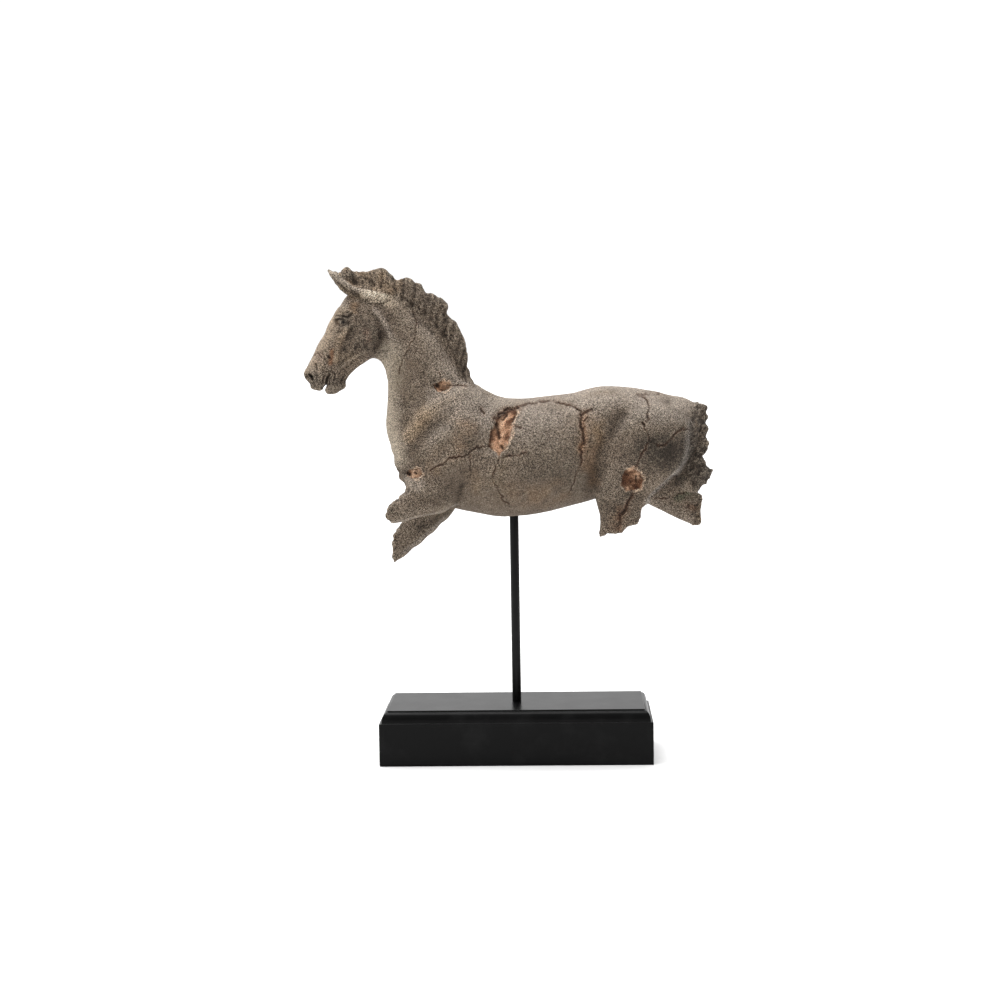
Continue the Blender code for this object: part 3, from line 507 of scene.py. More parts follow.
def in_knot(points, normals, outline, side):
    """How far inside a knot's ragged outline each point is, in mm, and how squarely it faces the side."""
    depth = np.full(len(points), -99.0)
    near = beside(points[:, [0, 2]], outline, 6)
    ragged = 1.3 * lumps(points[near], 4.2, 7) + 0.7 * lumps(points[near], 1.9, 8)
    depth[near] = depth_inside(points[near][:, [0, 2]], outline) + ragged
    return depth, facing(normals, side)


def even_clay():
    """A copy of the CAD solid as one even skin, its flat facets softened, least where the form is fine."""
    clay = bpy.data.objects.new("horse_cast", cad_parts["horse"].data.copy())
    bpy.context.scene.collection.objects.link(clay)
    clay.data.transform(Matrix.Scale(1 / MILLIMETRE, 4) @ Matrix.Translation((0, 0, -BELLY_HEIGHT)))
    active_only(clay)
    bpy.ops.object.mode_set(mode="EDIT")
    bpy.ops.mesh.select_all(action="SELECT")
    bpy.ops.mesh.remove_doubles(threshold=0.0005)
    bpy.ops.object.mode_set(mode="OBJECT")
    apply_modifier(clay, "REMESH", mode="VOXEL", voxel_size=WORKING_VOXEL, adaptivity=0)
    points, normals = skin(clay)
    x, y, z = points.T
    on_edge = 1 - facing(normals, BOTH)
    in_face = np.clip((FACE_BACK - x) / 10, 0, 1)
    in_ear = np.clip((EAR_BACK - x) / 4, 0, 1) * np.clip((z - EAR_FOOT) / 4, 0, 1)
    fine = np.maximum.reduce([
        (0.2 + 0.7 * on_edge) * in_mane(points), in_tail(points), in_break(points), 0.75 * in_face, in_ear
    ])
    for outline, side, *_ in knots():
        depth, faces = in_knot(points, normals, outline, side)
        fine = np.maximum(fine, np.clip((depth + 3) / 2, 0, 1) * faces)
    eased = ease(points, edges_of(clay), 0.5 - 0.4 * fine - 0.07 * in_ear, EASING_PASSES)
    reshape(clay, eased + normals * (EAR_PADDING * in_ear)[:, None])
    return clay


def comb_mane(obj):
    """Parts the mane into soft upright locks, with finer strands in each."""
    push_strokes(obj, MANE_GROOVES, BOTH)
    points, normals = skin(obj)
    x, y, z = points.T
    share, on_edge = in_mane(points), 1 - facing(normals, BOTH)
    nicked = 0.9 * on_edge * lumps(points, 4.4, 6)
    strand = (x + 0.25 * z + 1.4 * np.sin(z / 5) + 2.4 * lumps(points, 8, 2)) / STRAND_SPACING
    height = -0.25 * np.abs(2 * (strand - np.floor(strand)) - 1) ** 2
    height += 0.6 * lumps(points * (1, 1, 0.6), 4.6, 4) + 0.3 * lumps(points, 2.2, 5)
    reshape(obj, points + normals * (share * (nicked + (1 - on_edge) * height))[:, None])


def roughen_stumps(obj):
    """Breaks up the tail and the broken faces of the legs."""
    points, normals = skin(obj)
    tail, broken = in_tail(points), in_break(points)
    ragged = 1.1 * lumps(points, 4.6, 11) + 0.7 * lumps(points, 2.1, 12)
    layered = 0.9 * lumps(points * (1, 0.5, 1), 3.6, 13) + 0.6 * lumps(points, 1.7, 14)
    reshape(obj, points + normals * (tail * ragged + broken * layered)[:, None])


def hollow_knots(obj):
    """Sinks the bare places, with a torn floor and a thin raised rim."""
    points, normals = skin(obj)
    push = np.zeros(len(points))
    for number, (outline, side, depth, *_) in enumerate(knots()):
        inside, faces = in_knot(points, normals, outline, side)
        wall = np.clip(inside / 1.1, 0, 1)
        near = inside > -4
        torn = 0.7 * lumps(points[near] * (1, 1, 0.6), 4.2, 20 + number) + 0.25 * lumps(points[near], 1.8, 40)
        push[near] += faces[near] * wall[near] * (torn - depth)
        push[near] += 0.45 * faces[near] * np.clip(1 - np.abs(inside[near] + 1.1) / 1.2, 0, 1)
    reshape(obj, points + normals * push[:, None])


def open_cracks(obj):
    points, normals = skin(obj)
    depth = np.zeros(len(points))
    for cracks, side, seed in CRACKS:
        depth = np.maximum(depth, crack_share(points, normals, cracks, side, 1.0, seed))
    reshape(obj, points - normals * depth[:, None])


def grit(obj):
    """Gives the whole skin the sandy, pitted surface of the casting."""
    points, normals = skin(obj)
    height = 0.07 * lumps(points, 1.7, 62) + 0.04 * lumps(points, 3.4, 61) + 0.25 * lumps(points, 12, 63)
    pits = np.clip(lumps(points, 3.1, 64) - 0.65, 0, 1)
    reshape(obj, points + normals * (height - 0.6 * pits)[:, None])


def nudge(obj):
    points, _ = skin(obj)
    for middle, reach, (across, up) in NUDGES:
        away = np.linalg.norm(points[:, [0, 2]] - middle, axis=1)
        share = np.clip(1 - (away / reach) ** 2, 0, 1) ** 2
        points = points + share[:, None] * (across, 0, up)
    reshape(obj, points)


def model_horse():
    clay = even_clay()
    nudge(clay)
    push_strokes(clay, FACE_STROKES, BOTH)
    push_strokes(clay, BODY_STROKES, BOTH)
    comb_mane(clay)
    roughen_stumps(clay)
    hollow_knots(clay)
    push_strokes(clay, [(path, reach, -depth) for path, reach, depth in PITS], NEAR)
    open_cracks(clay)
    grit(clay)
    clay.data.calc_loop_triangles()
    apply_modifier(clay, "DECIMATE", ratio=CAST_TRIANGLES / len(clay.data.loop_triangles))
    return clay


def linear(colour):
    """An sRGB hex colour as linear red, green and blue."""
    parts = [int(colour[i : i + 2], 16) / 255 for i in (1, 3, 5)]
    return tuple(p / 12.92 if p <= 0.04045 else ((p + 0.055) / 1.055) ** 2.4 for p in parts)


# Washes of colour over the casting, some of them painted light and shade: path, reach, side, colour,
# strength, size of the mottling (0 is none)
WASHES = [
    ([(20, 62), (50, 52), (60, 40)], 26, BOTH, "#5f564b", 0.5, 18),  # barrel
    ([(-40, 66), (-58, 78)], 14, BOTH, "#635a4e", 0.4, 14),  # shoulder
    ([(108, 76), (128, 62), (140, 60)], 24, BOTH, "#2e2720", 0.95, 16),  # thigh
    ([(100, 20), (84, 8)], 16, NEAR, "#463c32", 0.8, 14),
    ([(118, 92), (146, 92)], 13, BOTH, "#483f37", 0.9, 14),  # side of the rump
    ([(-108, 150), (-112, 110), (-110, 80), (-104, 60)], 13, BOTH, "#ab9e8c", 0.8, 0),  # throat and breast: painted highlight down them
    ([(-100, 140), (-102, 120)], 7, BOTH, "#807463", 0.6, 9),
    ([(-152, 188), (-166, 160), (-178, 138)], 9, BOTH, "#a3917d", 0.85, 0),  # bridge of the nose: painted highlight along it
    ([(-125, 160), (-127, 166)], 17, BOTH, "#3d332a", 0.9, 9),  # cheek
    ([(-127.2, 169), (-125.6, 163), (-124, 156)], 3.5, BOTH, "#5f4033", 0.6, 3),
    # painted shade in the groove behind the cheek
    ([(-118, 168), (-115, 163), (-119, 151)], 5, BOTH, "#332820", 0.7, 4),
    # painted highlight along the muscle behind the cheek
    ([(-119.4, 185.6), (-113.4, 178.5), (-109.4, 171), (-106, 163)], 3.4, BOTH, "#877b70", 0.75, 0),
    # painted shade in the hollow behind the facial crest
    ([(-140.4, 169), (-144.9, 161)], 3.2, BOTH, "#2b231c", 0.7, 3),
    # painted shade in the small hollow below it
    ([(-134, 157), (-137, 152.6)], 3, BOTH, "#2f2720", 0.6, 3),
    ([(-144, 170.4), (-151, 161.6), (-153.4, 152), (-156, 142)], 4, BOTH, "#85715c", 0.75, 8),  # facial crest: painted highlight along the ridge
    ([(-158.6, 150.4), (-159, 145), (-160.4, 139.6)], 2.4, BOTH, "#75492a", 0.6, 0),  # rusty scar
    ([(-162.6, 146), (-162, 144.6)], 1.4, BOTH, "#1c1410", 0.9, 0),
    ([(-171, 147), (-170, 142)], 5, BOTH, "#806a61", 0.6, 6),
    ([(-151, 176.6), (-145.6, 176.6)], 5.5, BOTH, "#4f463d", 0.85, 0),  # eye: painted shade over it and its socket
    ([(-153.4, 176.6), (-152.4, 174.4)], 2.2, BOTH, "#574433", 0.8, 0),
    # painted shade in the crease over the upper lid
    ([(-155, 181.4), (-147.5, 180.7)], 1.6, BOTH, "#2a221c", 0.4, 0),
    # painted shade in the crease's deep back end
    ([(-147.5, 180.7), (-143.3, 179.9), (-139.4, 182.8)], 1.7, BOTH, "#1f1814", 0.75, 0),
    # painted shade under the upper lid's lower edge
    ([(-154.4, 178), (-146, 178.4)], 1.3, BOTH, "#2a221b", 0.45, 0),
    ([(-147.3, 175.9), (-146.9, 175.3)], 2.0, BOTH, "#15110e", 1.0, 0),  # pupil: painted shade in its hollow
    ([(-184, 130), (-172, 122), (-156, 120)], 9, BOTH, "#51483f", 0.75, 5),  # lips
    ([(-150, 140), (-138, 148)], 7, BOTH, "#70614f", 0.5, 6),
    ([(-150, 188), (-146, 190)], 5, BOTH, "#8f8070", 0.8, 9),  # brow
    ([(-139, 193), (-136.6, 187.6)], 5, BOTH, "#80603f", 0.7, 4),
    ([(-152, 208.6), (-145, 203), (-133, 198)], 3.6, BOTH, "#66563f", 0.5, 6),  # ear: painted shade in its hollow
    # painted highlight along the ear's upper half
    ([(-160, 221), (-148, 213.6), (-137, 207.6), (-126, 202)], 4.4, BOTH, "#94887b", 0.85, 0),
    # painted highlight on the top of the round ear base
    ([(-124, 201.6), (-114, 199), (-105, 196.6)], 8.5, BOTH, "#c4b39d", 0.95, 0),
    ([(-104, 194), (-96, 186)], 7, BOTH, "#8c7c69", 0.7, 9),
    # crest of the neck: painted highlight along it
    ([(-104, 196), (-92, 184), (-78, 170), (-66, 152), (-56, 132)], 8, BOTH, "#8b7e70", 0.85, 16),
    ([(-88, 128), (-82, 100), (-88, 84)], 14, BOTH, "#5a4c3b", 0.5, 8),  # neck
    ([(-70, 140), (-64, 126)], 8, BOTH, "#594e3f", 0.45, 6),
    ([(-38, 116), (-60, 106), (-76, 94), (-90, 76)], 8, BOTH, "#8d7860", 0.75, 12),  # strap muscle: painted highlight along its ridge
    ([(-50, 96), (-38, 84)], 9, BOTH, "#84674e", 0.55, 6),
    ([(-30, 112), (-18, 106), (6, 106)], 8, BOTH, "#8c8170", 0.6, 9),
    ([(-46, 76), (-70, 62), (-86, 54)], 9, BOTH, "#5a4c3d", 0.5, 9),
    ([(-70, 100), (-60, 96), (-50, 92)], 9, BOTH, "#87745e", 0.4, 0),
    ([(-60, 4), (-20, 4), (30, 6), (66, 14)], 12, BOTH, "#625548", 0.8, 16),  # belly
    ([(20, 44), (60, 40)], 16, BOTH, "#564c41", 0.6, 20),
    ([(96, 52), (90, 30)], 12, NEAR, "#54493f", 0.6, 14),
    ([(150, 84), (152, 60), (146, 40)], 11, BOTH, "#40372f", 0.85, 16),
    ([(69, 88), (70, 70), (66, 50), (70, 36)], 9, BOTH, "#70563f", 0.6, 8),  # stain in the flank's fold
    ([(0, 24), (24, 20), (40, 26)], 12, BOTH, "#7c654f", 0.6, 9),
    ([(-66, 50), (-50, 60), (-40, 80)], 10, BOTH, "#77604a", 0.5, 7),
    ([(-34, 40), (-30, 30)], 8, BOTH, "#7a6650", 0.5, 6),
    ([(62, 92), (62, 76), (60, 60)], 6, NEAR, "#614a33", 0.6, 5),
    ([(74, 86), (74, 70)], 8, NEAR, "#6f583e", 0.55, 6),
    ([(63, 92), (61.6, 82), (63.6, 72), (60, 62)], 3.2, NEAR, "#8a6547", 0.6, 0),  # rust beside the crack
    ([(-79, 128), (-74, 122)], 5, NEAR, "#3f352c", 0.6, 4),
    ([(72, 62), (72, 44)], 8, BOTH, "#534638", 0.5, 7),  # flank
    ([(94, 6), (90, -10)], 9, NEAR, "#614834", 0.65, 5),  # near hind break
    # painted shade behind the back edge of the thigh
    ([(159.4, 62), (157.8, 48), (153.4, 37), (145.3, 28), (136.4, 19)], 5, BOTH, "#3b342c", 0.7, 7),
    ([(125.4, 9.6), (135.9, 5.6), (147, -1.3), (158, -7.5)], 7, FAR, "#85786b", 0.6, 9),  # far hind leg
    ([(156.8, 6), (164.3, 4.5)], 4.5, FAR, "#553a2a", 0.6, 4),
    ([(147, 14), (155, 17), (163, 16.5)], 4.5, FAR, "#434937", 0.7, 4),  # green bloom
    # painted highlight along the back edge of the thigh
    ([(156, 84), (154, 68.3), (153.5, 57.4), (150.6, 48), (144.7, 40), (133, 28.5), (119, 15.6)],
     4.0, BOTH, "#7d7771", 0.5, 0),
    # painted highlight on the lower end of that edge
    ([(146, 41), (133, 28.5), (118, 15)], 3.4, BOTH, "#938b83", 0.6, 0),
    ([(-98, 5), (-86, 9), (-70, 11), (-54, 14)], 3.5, NEAR, "#7f7264", 0.6, 6),  # near foreleg
    # painted shade in the groove at the top of the near foreleg
    ([(-79, 18), (-71, 19), (-61, 20)], 5, NEAR, "#403429", 0.75, 4),
    # painted highlight along the lower edge of the near foreleg
    ([(-109, -0.4), (-98, 1.2), (-86.7, 3.6), (-73.6, 5.6), (-60.3, 9.4), (-49, 13.4)],
     1.7, NEAR, "#8c8073", 0.75, 0),
    ([(-92, 36), (-81, 32)], 6, NEAR, "#93877b", 0.8, 8),
    ([(-86, -10), (-78.6, -6.6), (-66, -2.5), (-58, 1)], 6, FAR, "#40362d", 0.8, 6),  # far foreleg: painted shadow on its top, under the near foreleg
    # painted highlight along its lower edge
    ([(-102, -34), (-88.4, -24.3), (-72.4, -10.8), (-62.8, -2.5)], 2.4, FAR, "#857a70", 0.7, 0),
    ([(-58, 100), (-42, 98), (-28, 92)], 14, BOTH, "#92867a", 0.65, 18),  # over the shoulder
    ([(-8, 52), (-16, 40), (-8, 20)], 8, NEAR, "#655742", 0.4, 6),
]
# Where the grains are rubbed low: how far the belly runs each way, where the back starts, and path, reach
BELLY_REACH, BACK_FRONT = 75, -40
SMOOTH_PLACES = [
    ([(-108, 150), (-112, 110), (-108, 60)], 12),
    ([(-152, 188), (-178, 138)], 7),
    ([(-100, 118), (-96, 134)], 8),
]
CASTING, UPWARD_PALE = "#6a5d50", "#91867b"
UPWARD_PALE_FRONT = -75  # in front of this, on the neck and head, upward faces are paled less
MANE_COLOUR, MANE_PALE, MANE_PALE_FRONT = "#5b4f43", "#7d6a56", -95
# The tail's dark colour is its own patina and painted shade together.
TAIL_PATINA_AND_SHADE, BREAK_COLOUR = "#38312a", "#544638"
BARE_FLOOR, BARE_DARK, BARE_PALE, BARE_SHADOW = "#ba8f70", "#553320", "#cdac90", "#402515"
CRACK_STAIN, CRACK_COLOUR, PIT_COLOUR = "#64493a", "#432c1f", "#442716"
WASH_SEED = 71


def wash_over(colours, share, colour):
    colours += share[:, None] * (np.array(linear(colour)) - colours)


def brush_washes(colours, points):
    places = points[:, [0, 2]]
    for number, (path, reach, side, colour, strength, mottling) in enumerate(WASHES):
        near = beside(places, path, reach)
        share = np.clip(1.25 - distance_to_path(places[near], path) / reach, 0, 1)
        if side != BOTH:
            share *= np.clip(0.5 + side * points[near, 1] / 6, 0, 1)
        if mottling:
            share *= np.clip(0.65 + 0.9 * lumps(points[near], mottling, WASH_SEED + number), 0, 1)
        full = np.zeros(len(points))
        full[near] = strength * share
        wash_over(colours, full, colour)


def pale_upward_faces(colours, points, up):
    # paler where the skin faces up
    faces_up_share = np.clip(2 * up - 0.3, 0, 1) * np.clip(1 + 0.7 * lumps(points, 12, 70), 0, 1)
    wash_over(colours, np.where(points[:, 0] > UPWARD_PALE_FRONT, 0.8, 0.45) * faces_up_share, UPWARD_PALE)


def brush_hair_and_breaks(colours, points, edges):
    mane, tail, broken = in_mane(points), in_tail(points), in_break(points)
    tail = np.clip(ease(np.column_stack([tail, tail, tail]), edges, 0.5, 6)[:, 0], 0, 1)
    wash_over(colours, 0.85 * mane * np.clip(1 + 0.5 * lumps(points, 8, 120), 0, 1), MANE_COLOUR)
    pale = np.clip(0.2 + 0.9 * lumps(points, 7, 122), 0, 1) * (points[:, 0] < MANE_PALE_FRONT)
    wash_over(colours, mane * pale, MANE_PALE)
    # the tail's dark patina, with painted shade
    wash_over(colours, 0.8 * tail * np.clip(0.8 + 0.5 * lumps(points, 5, 123), 0, 1), TAIL_PATINA_AND_SHADE)
    wash_over(colours, 0.55 * broken * np.clip(0.7 + lumps(points, 4, 121), 0, 1), BREAK_COLOUR)


def paint_knots(colours, points, normals):
    """Paints the bare floors where knots have come out, and says how bare each point is."""
    x, _, z = points.T
    bare = np.zeros(len(points))
    for number, (outline, side, _, soot, shadowed) in enumerate(knots()):
        inside, faces = in_knot(points, normals, outline, side)
        floor = np.clip(inside + 0.3, 0, 1) * faces
        bare = np.maximum(bare, floor)
        wash_over(colours, 0.95 * floor, BARE_FLOOR)
        uneven = lumps(points, 5, 130 + number) + 0.5 * lumps(points, 2.2, 140 + number)
        wash_over(colours, floor * np.clip(1.1 * uneven, 0, 0.8), BARE_PALE)
        wash_over(colours, floor * np.clip(soot - 1.2 * uneven, 0, 0.9), BARE_DARK)
        if shadowed:
            upper_left = np.clip((z - PATCH_SHADOW_SLOPE * x - PATCH_SHADOW_LINE) / 6, 0, 1)
            wash_over(colours, floor * np.clip(1.2 - inside / 3, 0, 1) * upper_left, BARE_SHADOW)
        # Painted highlight: only the right half of the rim is paled.
        rim = np.clip(1 - np.abs(inside + 0.9) / 1.1, 0, 1) * faces
        wash_over(colours, 0.6 * rim * (x > np.mean(outline, axis=0)[0]), BARE_PALE)
    return bare


def paint_cracks_and_pits(colours, points, normals):
    for cracks, side, seed in CRACKS:
        stain = crack_share(points, normals, cracks, side, 2.6, seed)
        wash_over(colours, np.clip(0.5 * stain - 0.12, 0, 0.6), CRACK_STAIN)
        deep = crack_share(points, normals, cracks, side, 1.1, seed)
        wash_over(colours, np.clip(0.7 * deep, 0, 0.7), CRACK_COLOUR)
    for path, reach, _ in PITS:
        share = np.clip(1.2 - distance_to_path(points[:, [0, 2]], path) / reach, 0, 1)
        wash_over(colours, 0.7 * share * facing(normals, NEAR), PIT_COLOUR)


def rubbed_low(points, normals, up, bare):
    """How far the grains are rubbed away: under the belly, on the bare floors, over the back."""
    x, places = points[:, 0], points[:, [0, 2]]
    smooth = np.clip(-1.2 * normals[:, 2], 0, 0.4) * (np.abs(x) < BELLY_REACH)
    for path, reach in SMOOTH_PLACES:
        smooth = np.maximum(smooth, 0.4 * np.clip(1.4 - distance_to_path(places, path) / reach, 0, 1))
    smooth = np.maximum(smooth, 0.45 * np.clip(2 * up - 0.7, 0, 1) * (x > BACK_FRONT))
    return np.maximum(smooth, 0.4 * bare)


def paint_horse(obj):
    """Brushes the washes on as point colours, painted light and shade among them, and notes how far into a
    hollow each point lies.
    """
    points, normals = skin(obj)
    edges = edges_of(obj)
    up = ease(normals, edges, 0.5, 20)[:, 2]
    colours = np.tile(linear(CASTING), (len(points), 1))
    colours *= (1 + 0.16 * lumps(points, 16, 68) + 0.1 * lumps(points, 6, 69))[:, None]
    brush_washes(colours, points)
    pale_upward_faces(colours, points, up)
    brush_hair_and_breaks(colours, points, edges)
    bare = paint_knots(colours, points, normals)
    paint_cracks_and_pits(colours, points, normals)
    sunk = ((ease(points, edges, 0.5, 5) - points) * normals).sum(axis=1)
    sunk_wide = ((ease(points, edges, 0.5, 50) - points) * normals).sum(axis=1)
    hollow = np.clip(0.5 + (0.95 * sunk + 0.1 * sunk_wide) * (1 - 0.6 * bare), 0, 1)
    # darker where the skin sinks, paler where it stands out
    colours *= np.clip(1 - 0.8 * sunk, 0.7, 1.3)[:, None]
    paint = obj.data.color_attributes.new("wash", "FLOAT_COLOR", "POINT")
    paint.data.foreach_set("color", np.column_stack([colours, np.ones(len(points))]).ravel())
    for name, values in (("hollow", hollow), ("grain", 1 - rubbed_low(points, normals, up, bare))):
        kept = obj.data.attributes.new(name, "FLOAT", "POINT")
        kept.data.foreach_set("value", values)


def opaque(colour):
    return (*linear(colour), 1)


class Nodes:
    """The nodes of their owner, a material or a world."""

    def __init__(self, owner):
        owner.use_nodes = True
        self.owner, self.tree = owner, owner.node_tree
        self.shader = self.tree.nodes.get("Principled BSDF")

    def fill(self, node, links=None, values=None, **settings):
        """Gives a node its settings, each a property or a named input's value, then the values of inputs
        known by number, then links, which say what feeds an input."""
        for key, value in settings.items():
            if hasattr(node, key):
                setattr(node, key, value)
            else:
                node.inputs[key.replace("_", " ")].default_value = value
        for socket, value in (values or {}).items():
            node.inputs[socket].default_value = value
        for socket, source in (links or {}).items():
            self.tree.links.new(source, node.inputs[socket])
        return node

    def add(self, kind, links=None, values=None, **settings):
        return self.fill(self.tree.nodes.new("ShaderNode" + kind), links, values, **settings)


PER_MM = 1000.0  # a scale of 1.8 * PER_MM draws 1.8 grains to the millimetre
HOLLOW_BROWN, RAISED_PALE, BLACK, DUSTY_BLACK = "#2f261e", "#948979", "#060606", "#121212"


def cast_resin():
    """Cast resin with a sand-textured, distressed surface, washed in grey and brown and left dead matt.
    The eye sees coarse pale grains with dark between them, brown in the hollows, and no gloss."""
    m = Nodes(bpy.data.materials.new("weathered cast resin"))
    place = m.add("TexCoord").outputs["Object"]
    wash = m.add("Attribute", attribute_name="wash").outputs["Color"]
    hollow = m.add("Attribute", attribute_name="hollow").outputs["Fac"]
    grain = m.add("Attribute", attribute_name="grain").outputs["Fac"]
    # Hollows are darkened towards dark brown, and what stands out is made paler.
    into_hollow = m.add("MapRange", {"Value": hollow}, From_Min=0.5, From_Max=0.85, To_Min=0.0, To_Max=0.75)
    hollows_darkened = m.add(
        "Mix", {"Factor": into_hollow.outputs["Result"], 6: wash}, {7: opaque(HOLLOW_BROWN)}, data_type="RGBA"
    ).outputs[2]
    standing_out = m.add("MapRange", {"Value": hollow}, From_Min=0.48, From_Max=0.15, To_Min=0.0, To_Max=0.3)
    raised_paled = m.add(
        "Mix", {"Factor": standing_out.outputs["Result"], 6: hollows_darkened}, {7: opaque(RAISED_PALE)}, data_type="RGBA"
    ).outputs[2]
    # Real grains are 0.3 to 0.6 mm; they are drawn about 0.55 mm, the finest that this picture can hold.
    stirred = m.add("TexNoise", {"Vector": place}, Scale=0.5 * PER_MM, Detail=2.0).outputs["Color"]
    moved = m.add(
        "Mix", {6: place, 7: stirred}, data_type="RGBA", blend_type="ADD", Factor=0.6 * MILLIMETRE
    ).outputs[2]
    cells = m.add("TexVoronoi", {"Vector": moved}, Scale=1.8 * PER_MM).outputs
    shade = m.add("SeparateColor", {"Color": cells["Color"]}).outputs["Red"]
    tops = m.add("MapRange", {"Value": cells["Distance"]}, From_Min=0.1, From_Max=0.75, To_Min=1, To_Max=0)
    speckle = m.add("Math", {0: tops.outputs["Result"], 1: shade}, operation="ADD").outputs["Value"]
    strong = m.add("MapRange", {"Value": speckle}, From_Min=0.3, From_Max=1.7, To_Min=-0.72, To_Max=0.72)
    shown = m.add("Math", {0: strong.outputs["Result"], 1: grain}, operation="MULTIPLY").outputs["Value"]
    about_one = m.add("Math", {0: shown}, {1: 1.0}, operation="ADD").outputs["Value"]
    light = m.add("Math", {0: about_one}, {1: 2.2}, operation="POWER").outputs["Value"]
    grained = m.add(
        "Mix", {6: raised_paled, 7: light}, data_type="RGBA", blend_type="MULTIPLY", clamp_result=True, Factor=1.0
    ).outputs[2]
    bump = m.add("Bump", {"Height": speckle}, Strength=0.8, Distance=0.4 * MILLIMETRE).outputs["Normal"]
    m.fill(m.shader, {"Base Color": grained, "Normal": bump}, Roughness=0.92, Specular_IOR_Level=0.25)
    return m.owner


def black_paint():
    """Steel rod sprayed satin black. The eye sees a soft streak of light down it and a faint orange peel."""
    m = Nodes(bpy.data.materials.new("satin black paint on steel"))
    place = m.add("TexCoord").outputs["Object"]
    peel = m.add("TexNoise", {"Vector": place}, Scale=0.9 * PER_MM, Detail=2.0).outputs["Fac"]
    bump = m.add("Bump", {"Height": peel}, Strength=0.12, Distance=0.2 * MILLIMETRE).outputs["Normal"]
    rubs = m.add("TexNoise", {"Vector": place}, Scale=0.12 * PER_MM, Detail=4.0).outputs["Fac"]
    gloss = m.add("MapRange", {"Value": rubs}, From_Min=0.3, From_Max=0.7, To_Min=0.36, To_Max=0.5)
    m.fill(
        m.shader, {"Normal": bump, "Roughness": gloss.outputs["Result"]},
        Base_Color=opaque(BLACK), Specular_IOR_Level=0.16,
    )
    return m.owner


def black_lacquer():
    """Wood under satin black lacquer, sprayed and lightly rubbed. The eye sees an even black with faint
    smudges, a ghost of the grain along its length, and a pale sheen where the light grazes the top."""
    m = Nodes(bpy.data.materials.new("satin black lacquer on wood"))
    place = m.add("TexCoord").outputs["Object"]
    # Grain lines 0.7 mm apart and some 20 mm long
    along = m.add("Mapping", {"Vector": place}, Scale=(0.05 * PER_MM, 1.4 * PER_MM, 1.4 * PER_MM))
    grain = m.add("TexNoise", {"Vector": along.outputs["Vector"]}, Scale=1.0, Detail=3.0).outputs["Fac"]
    bump = m.add("Bump", {"Height": grain}, Strength=0.08, Distance=0.3 * MILLIMETRE).outputs["Normal"]
    # Smudges some 26 mm across
    smudged = m.add("TexNoise", {"Vector": place}, Scale=0.038 * PER_MM, Detail=5.0, Roughness=0.6)
    smudges = smudged.outputs["Fac"]
    gloss = m.add("MapRange", {"Value": smudges}, From_Min=0.35, From_Max=0.7, To_Min=0.29, To_Max=0.33)
    faces_up_share = m.add("MapRange", {"Value": smudges}, From_Min=0.5, From_Max=0.75).outputs["Result"]
    tone = m.add("Mix", {"Factor": faces_up_share}, {6: opaque(BLACK), 7: opaque(DUSTY_BLACK)}, data_type="RGBA")
    m.fill(
        m.shader, {"Normal": bump, "Roughness": gloss.outputs["Result"], "Base Color": tone.outputs[2]},
        Specular_IOR_Level=0.1,
    )
    return m.owner


def dress(obj, material, node):
    obj.data.materials.clear()
    obj.data.materials.append(material)
    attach(obj, "root")
    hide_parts(node)


def make_horse():
    horse = model_horse()
    paint_horse(horse)
    horse.data.transform(Matrix.Translation((0, 0, BELLY_HEIGHT)) @ Matrix.Scale(MILLIMETRE, 4))
    active_only(horse)
    bpy.ops.object.shade_smooth()
    dress(horse, cast_resin(), "horse")


def make_rod():
    low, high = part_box("rod")
    bpy.ops.object.select_all(action="DESELECT")
    bpy.ops.mesh.primitive_cylinder_add(
        vertices=ROD_SIDES,
        radius=(high.x - low.x) / 2,
        depth=high.z - low.z,
        location=(0, 0, (low.z + high.z) / 2),
    )
    rod = bpy.context.object
    rod.name = "rod_painted"
    bpy.ops.object.transform_apply()
    apply_modifier(rod, "BEVEL", width=ROD_CHAMFER, segments=2, limit_method="ANGLE")
    active_only(rod)
    bpy.ops.object.shade_smooth_by_angle(angle=CRISP_ANGLE)
    dress(rod, black_paint(), "rod")


def step_in(inset, rise):
    """Raises the chosen top face a step, drawn in all round."""
    if inset:
        bpy.ops.mesh.inset(thickness=inset, depth=rise)
    else:
        bpy.ops.mesh.extrude_region_move(TRANSFORM_OT_translate={"value": (0, 0, rise)})


def make_plinth():
    low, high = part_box("plinth")
    size = high - low
    bpy.ops.object.select_all(action="DESELECT")
    bpy.ops.mesh.primitive_cube_add(size=1, location=(0, 0, BLOCK_HEIGHT / 2))
    plinth = bpy.context.object
    plinth.name = "plinth_lacquered"
    plinth.scale = (size.x, size.y, BLOCK_HEIGHT)
    bpy.ops.object.transform_apply()
    bpy.ops.object.mode_set(mode="EDIT")
    bpy.ops.mesh.select_all(action="DESELECT")
    bpy.ops.object.mode_set(mode="OBJECT")
    for face in plinth.data.polygons:
        face.select = face.normal.z > 0.5
    bpy.ops.object.mode_set(mode="EDIT")
    bpy.ops.mesh.select_mode(type="FACE")
    bpy.ops.mesh.inset(thickness=LEDGE, depth=0)
    turns = np.linspace(0, math.pi / 2, MOULDING_STEPS + 1)
    for start, end in zip(turns[:-1], turns[1:]):
        inset = MOULDING_RUN * (math.cos(start) - math.cos(end))
        step_in(inset, MOULDING_RISE * (math.sin(end) - math.sin(start)))
    step_in(FILLET_STEP, 0)
    step_in(0, size.z - BLOCK_HEIGHT - MOULDING_RISE)
    bpy.ops.object.mode_set(mode="OBJECT")
    apply_modifier(
        plinth, "BEVEL", width=PLINTH_ARRIS, segments=3, limit_method="ANGLE", angle_limit=CRISP_ANGLE
    )
    active_only(plinth)
    bpy.ops.object.shade_smooth_by_angle(angle=CRISP_ANGLE)
    apply_modifier(plinth, "WEIGHTED_NORMAL", weight=100, keep_sharp=True)
    dress(plinth, black_lacquer(), "plinth")


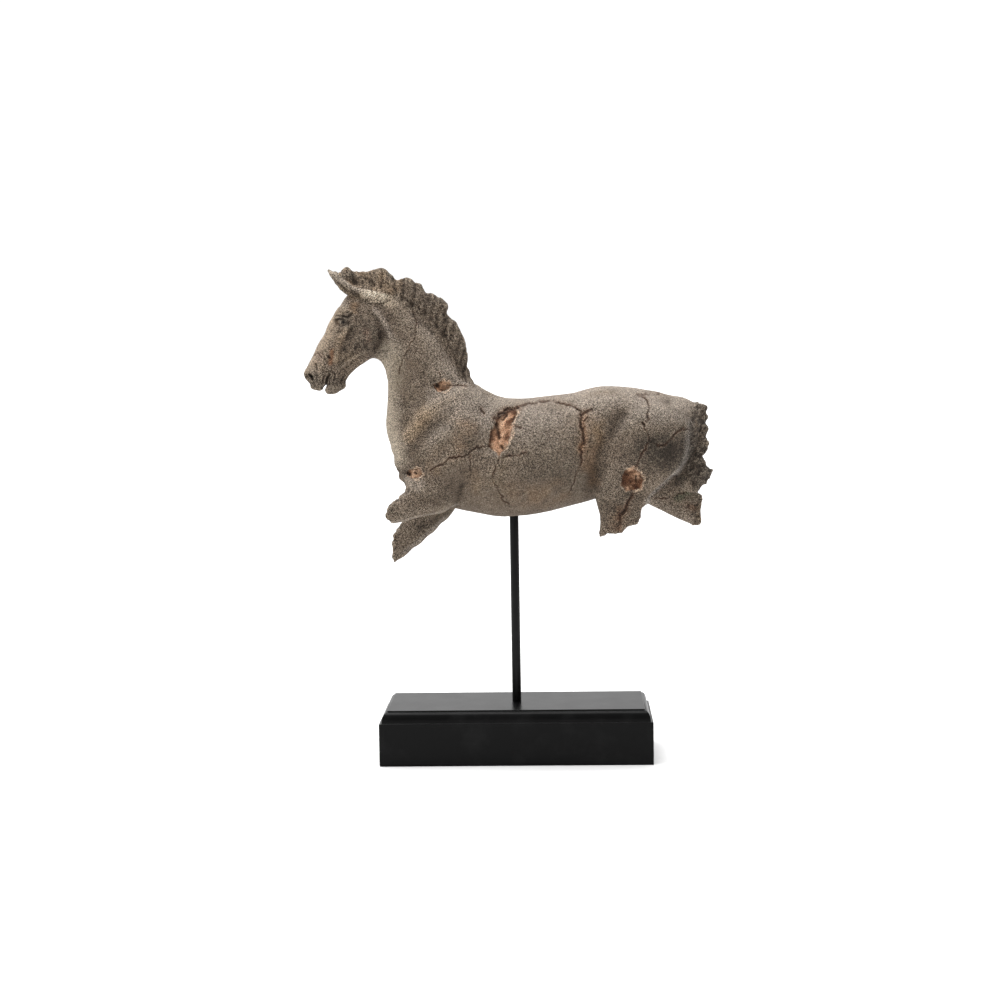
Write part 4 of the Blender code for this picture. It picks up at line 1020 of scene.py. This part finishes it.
def set_camera():
    """The photograph's place: 1.6 m away, looking a little down and to the left."""
    yaw, pitch, roll = CAMERA_TURN
    ahead = Vector((math.sin(yaw) * math.cos(pitch), math.cos(yaw) * math.cos(pitch), -math.sin(pitch)))
    level = Vector((math.cos(yaw), -math.sin(yaw), 0))
    up = level.cross(ahead)
    right = level * math.cos(roll) + up * math.sin(roll)
    up = up * math.cos(roll) - level * math.sin(roll)
    data = bpy.data.cameras.new("camera")
    data.lens, data.sensor_width = LENS, SENSOR_WIDTH
    camera = bpy.data.objects.new("camera", data)
    bpy.context.scene.collection.objects.link(camera)
    turned = Matrix((right, up, -ahead)).transposed().to_4x4()
    camera.matrix_world = Matrix.Translation(CAMERA_PLACE) @ turned
    bpy.context.scene.camera = camera


def lay_floor():
    """A white paper sweep under the sculpture."""
    bpy.ops.object.select_all(action="DESELECT")
    bpy.ops.mesh.primitive_plane_add(size=FLOOR_SIZE, location=(0, 0, -FLOOR_GAP))
    floor = bpy.context.object
    floor.name = "floor"
    sweep = Nodes(bpy.data.materials.new("white paper sweep"))
    grey = (FLOOR_GREY, FLOOR_GREY, FLOOR_GREY, 1)
    sweep.fill(sweep.shader, Base_Color=grey, Roughness=0.9, Specular_IOR_Level=0.1)
    floor.data.materials.append(sweep.owner)


def light_studio():
    """Broad soft light from overhead, and a sky that is brighter behind the sculpture than before it."""
    data = bpy.data.lights.new("overhead softbox", "SUN")
    data.energy, data.angle = SOFTBOX_STRENGTH, SOFTBOX_WIDTH
    light = bpy.data.objects.new("overhead softbox", data)
    bpy.context.scene.collection.objects.link(light)
    light.rotation_euler = Vector(SOFTBOX_WAY).to_track_quat("-Z", "Y").to_euler()
    sky = Nodes(bpy.data.worlds.new("studio"))
    lit, shown = sky.tree.nodes["Background"], sky.tree.nodes["World Output"]
    way = sky.add("TexCoord").outputs["Generated"]
    brightest = Vector(SKY_BRIGHTEST).normalized()
    towards = sky.add("VectorMath", {0: way}, {1: brightest}, operation="DOT_PRODUCT").outputs["Value"]
    fade = sky.add("MapRange", {"Value": towards}, From_Min=-1, From_Max=1, To_Min=0, To_Max=SKY_STRENGTH)
    sky.fill(lit, {"Strength": fade.outputs["Result"]}, Color=(1, 1, 1, 1))
    seen = sky.add("Background", Color=(1, 1, 1, 1), Strength=BACKDROP_STRENGTH)
    rays = sky.add("LightPath").outputs["Is Camera Ray"]
    either = sky.add("MixShader", {0: rays, 1: lit.outputs[0], 2: seen.outputs[0]})
    sky.fill(shown, {"Surface": either.outputs[0]})
    bpy.context.scene.world = sky.owner
    bpy.context.scene.view_settings.view_transform = "Standard"


make_horse()
make_rod()
make_plinth()
lay_floor()
light_studio()
set_camera()
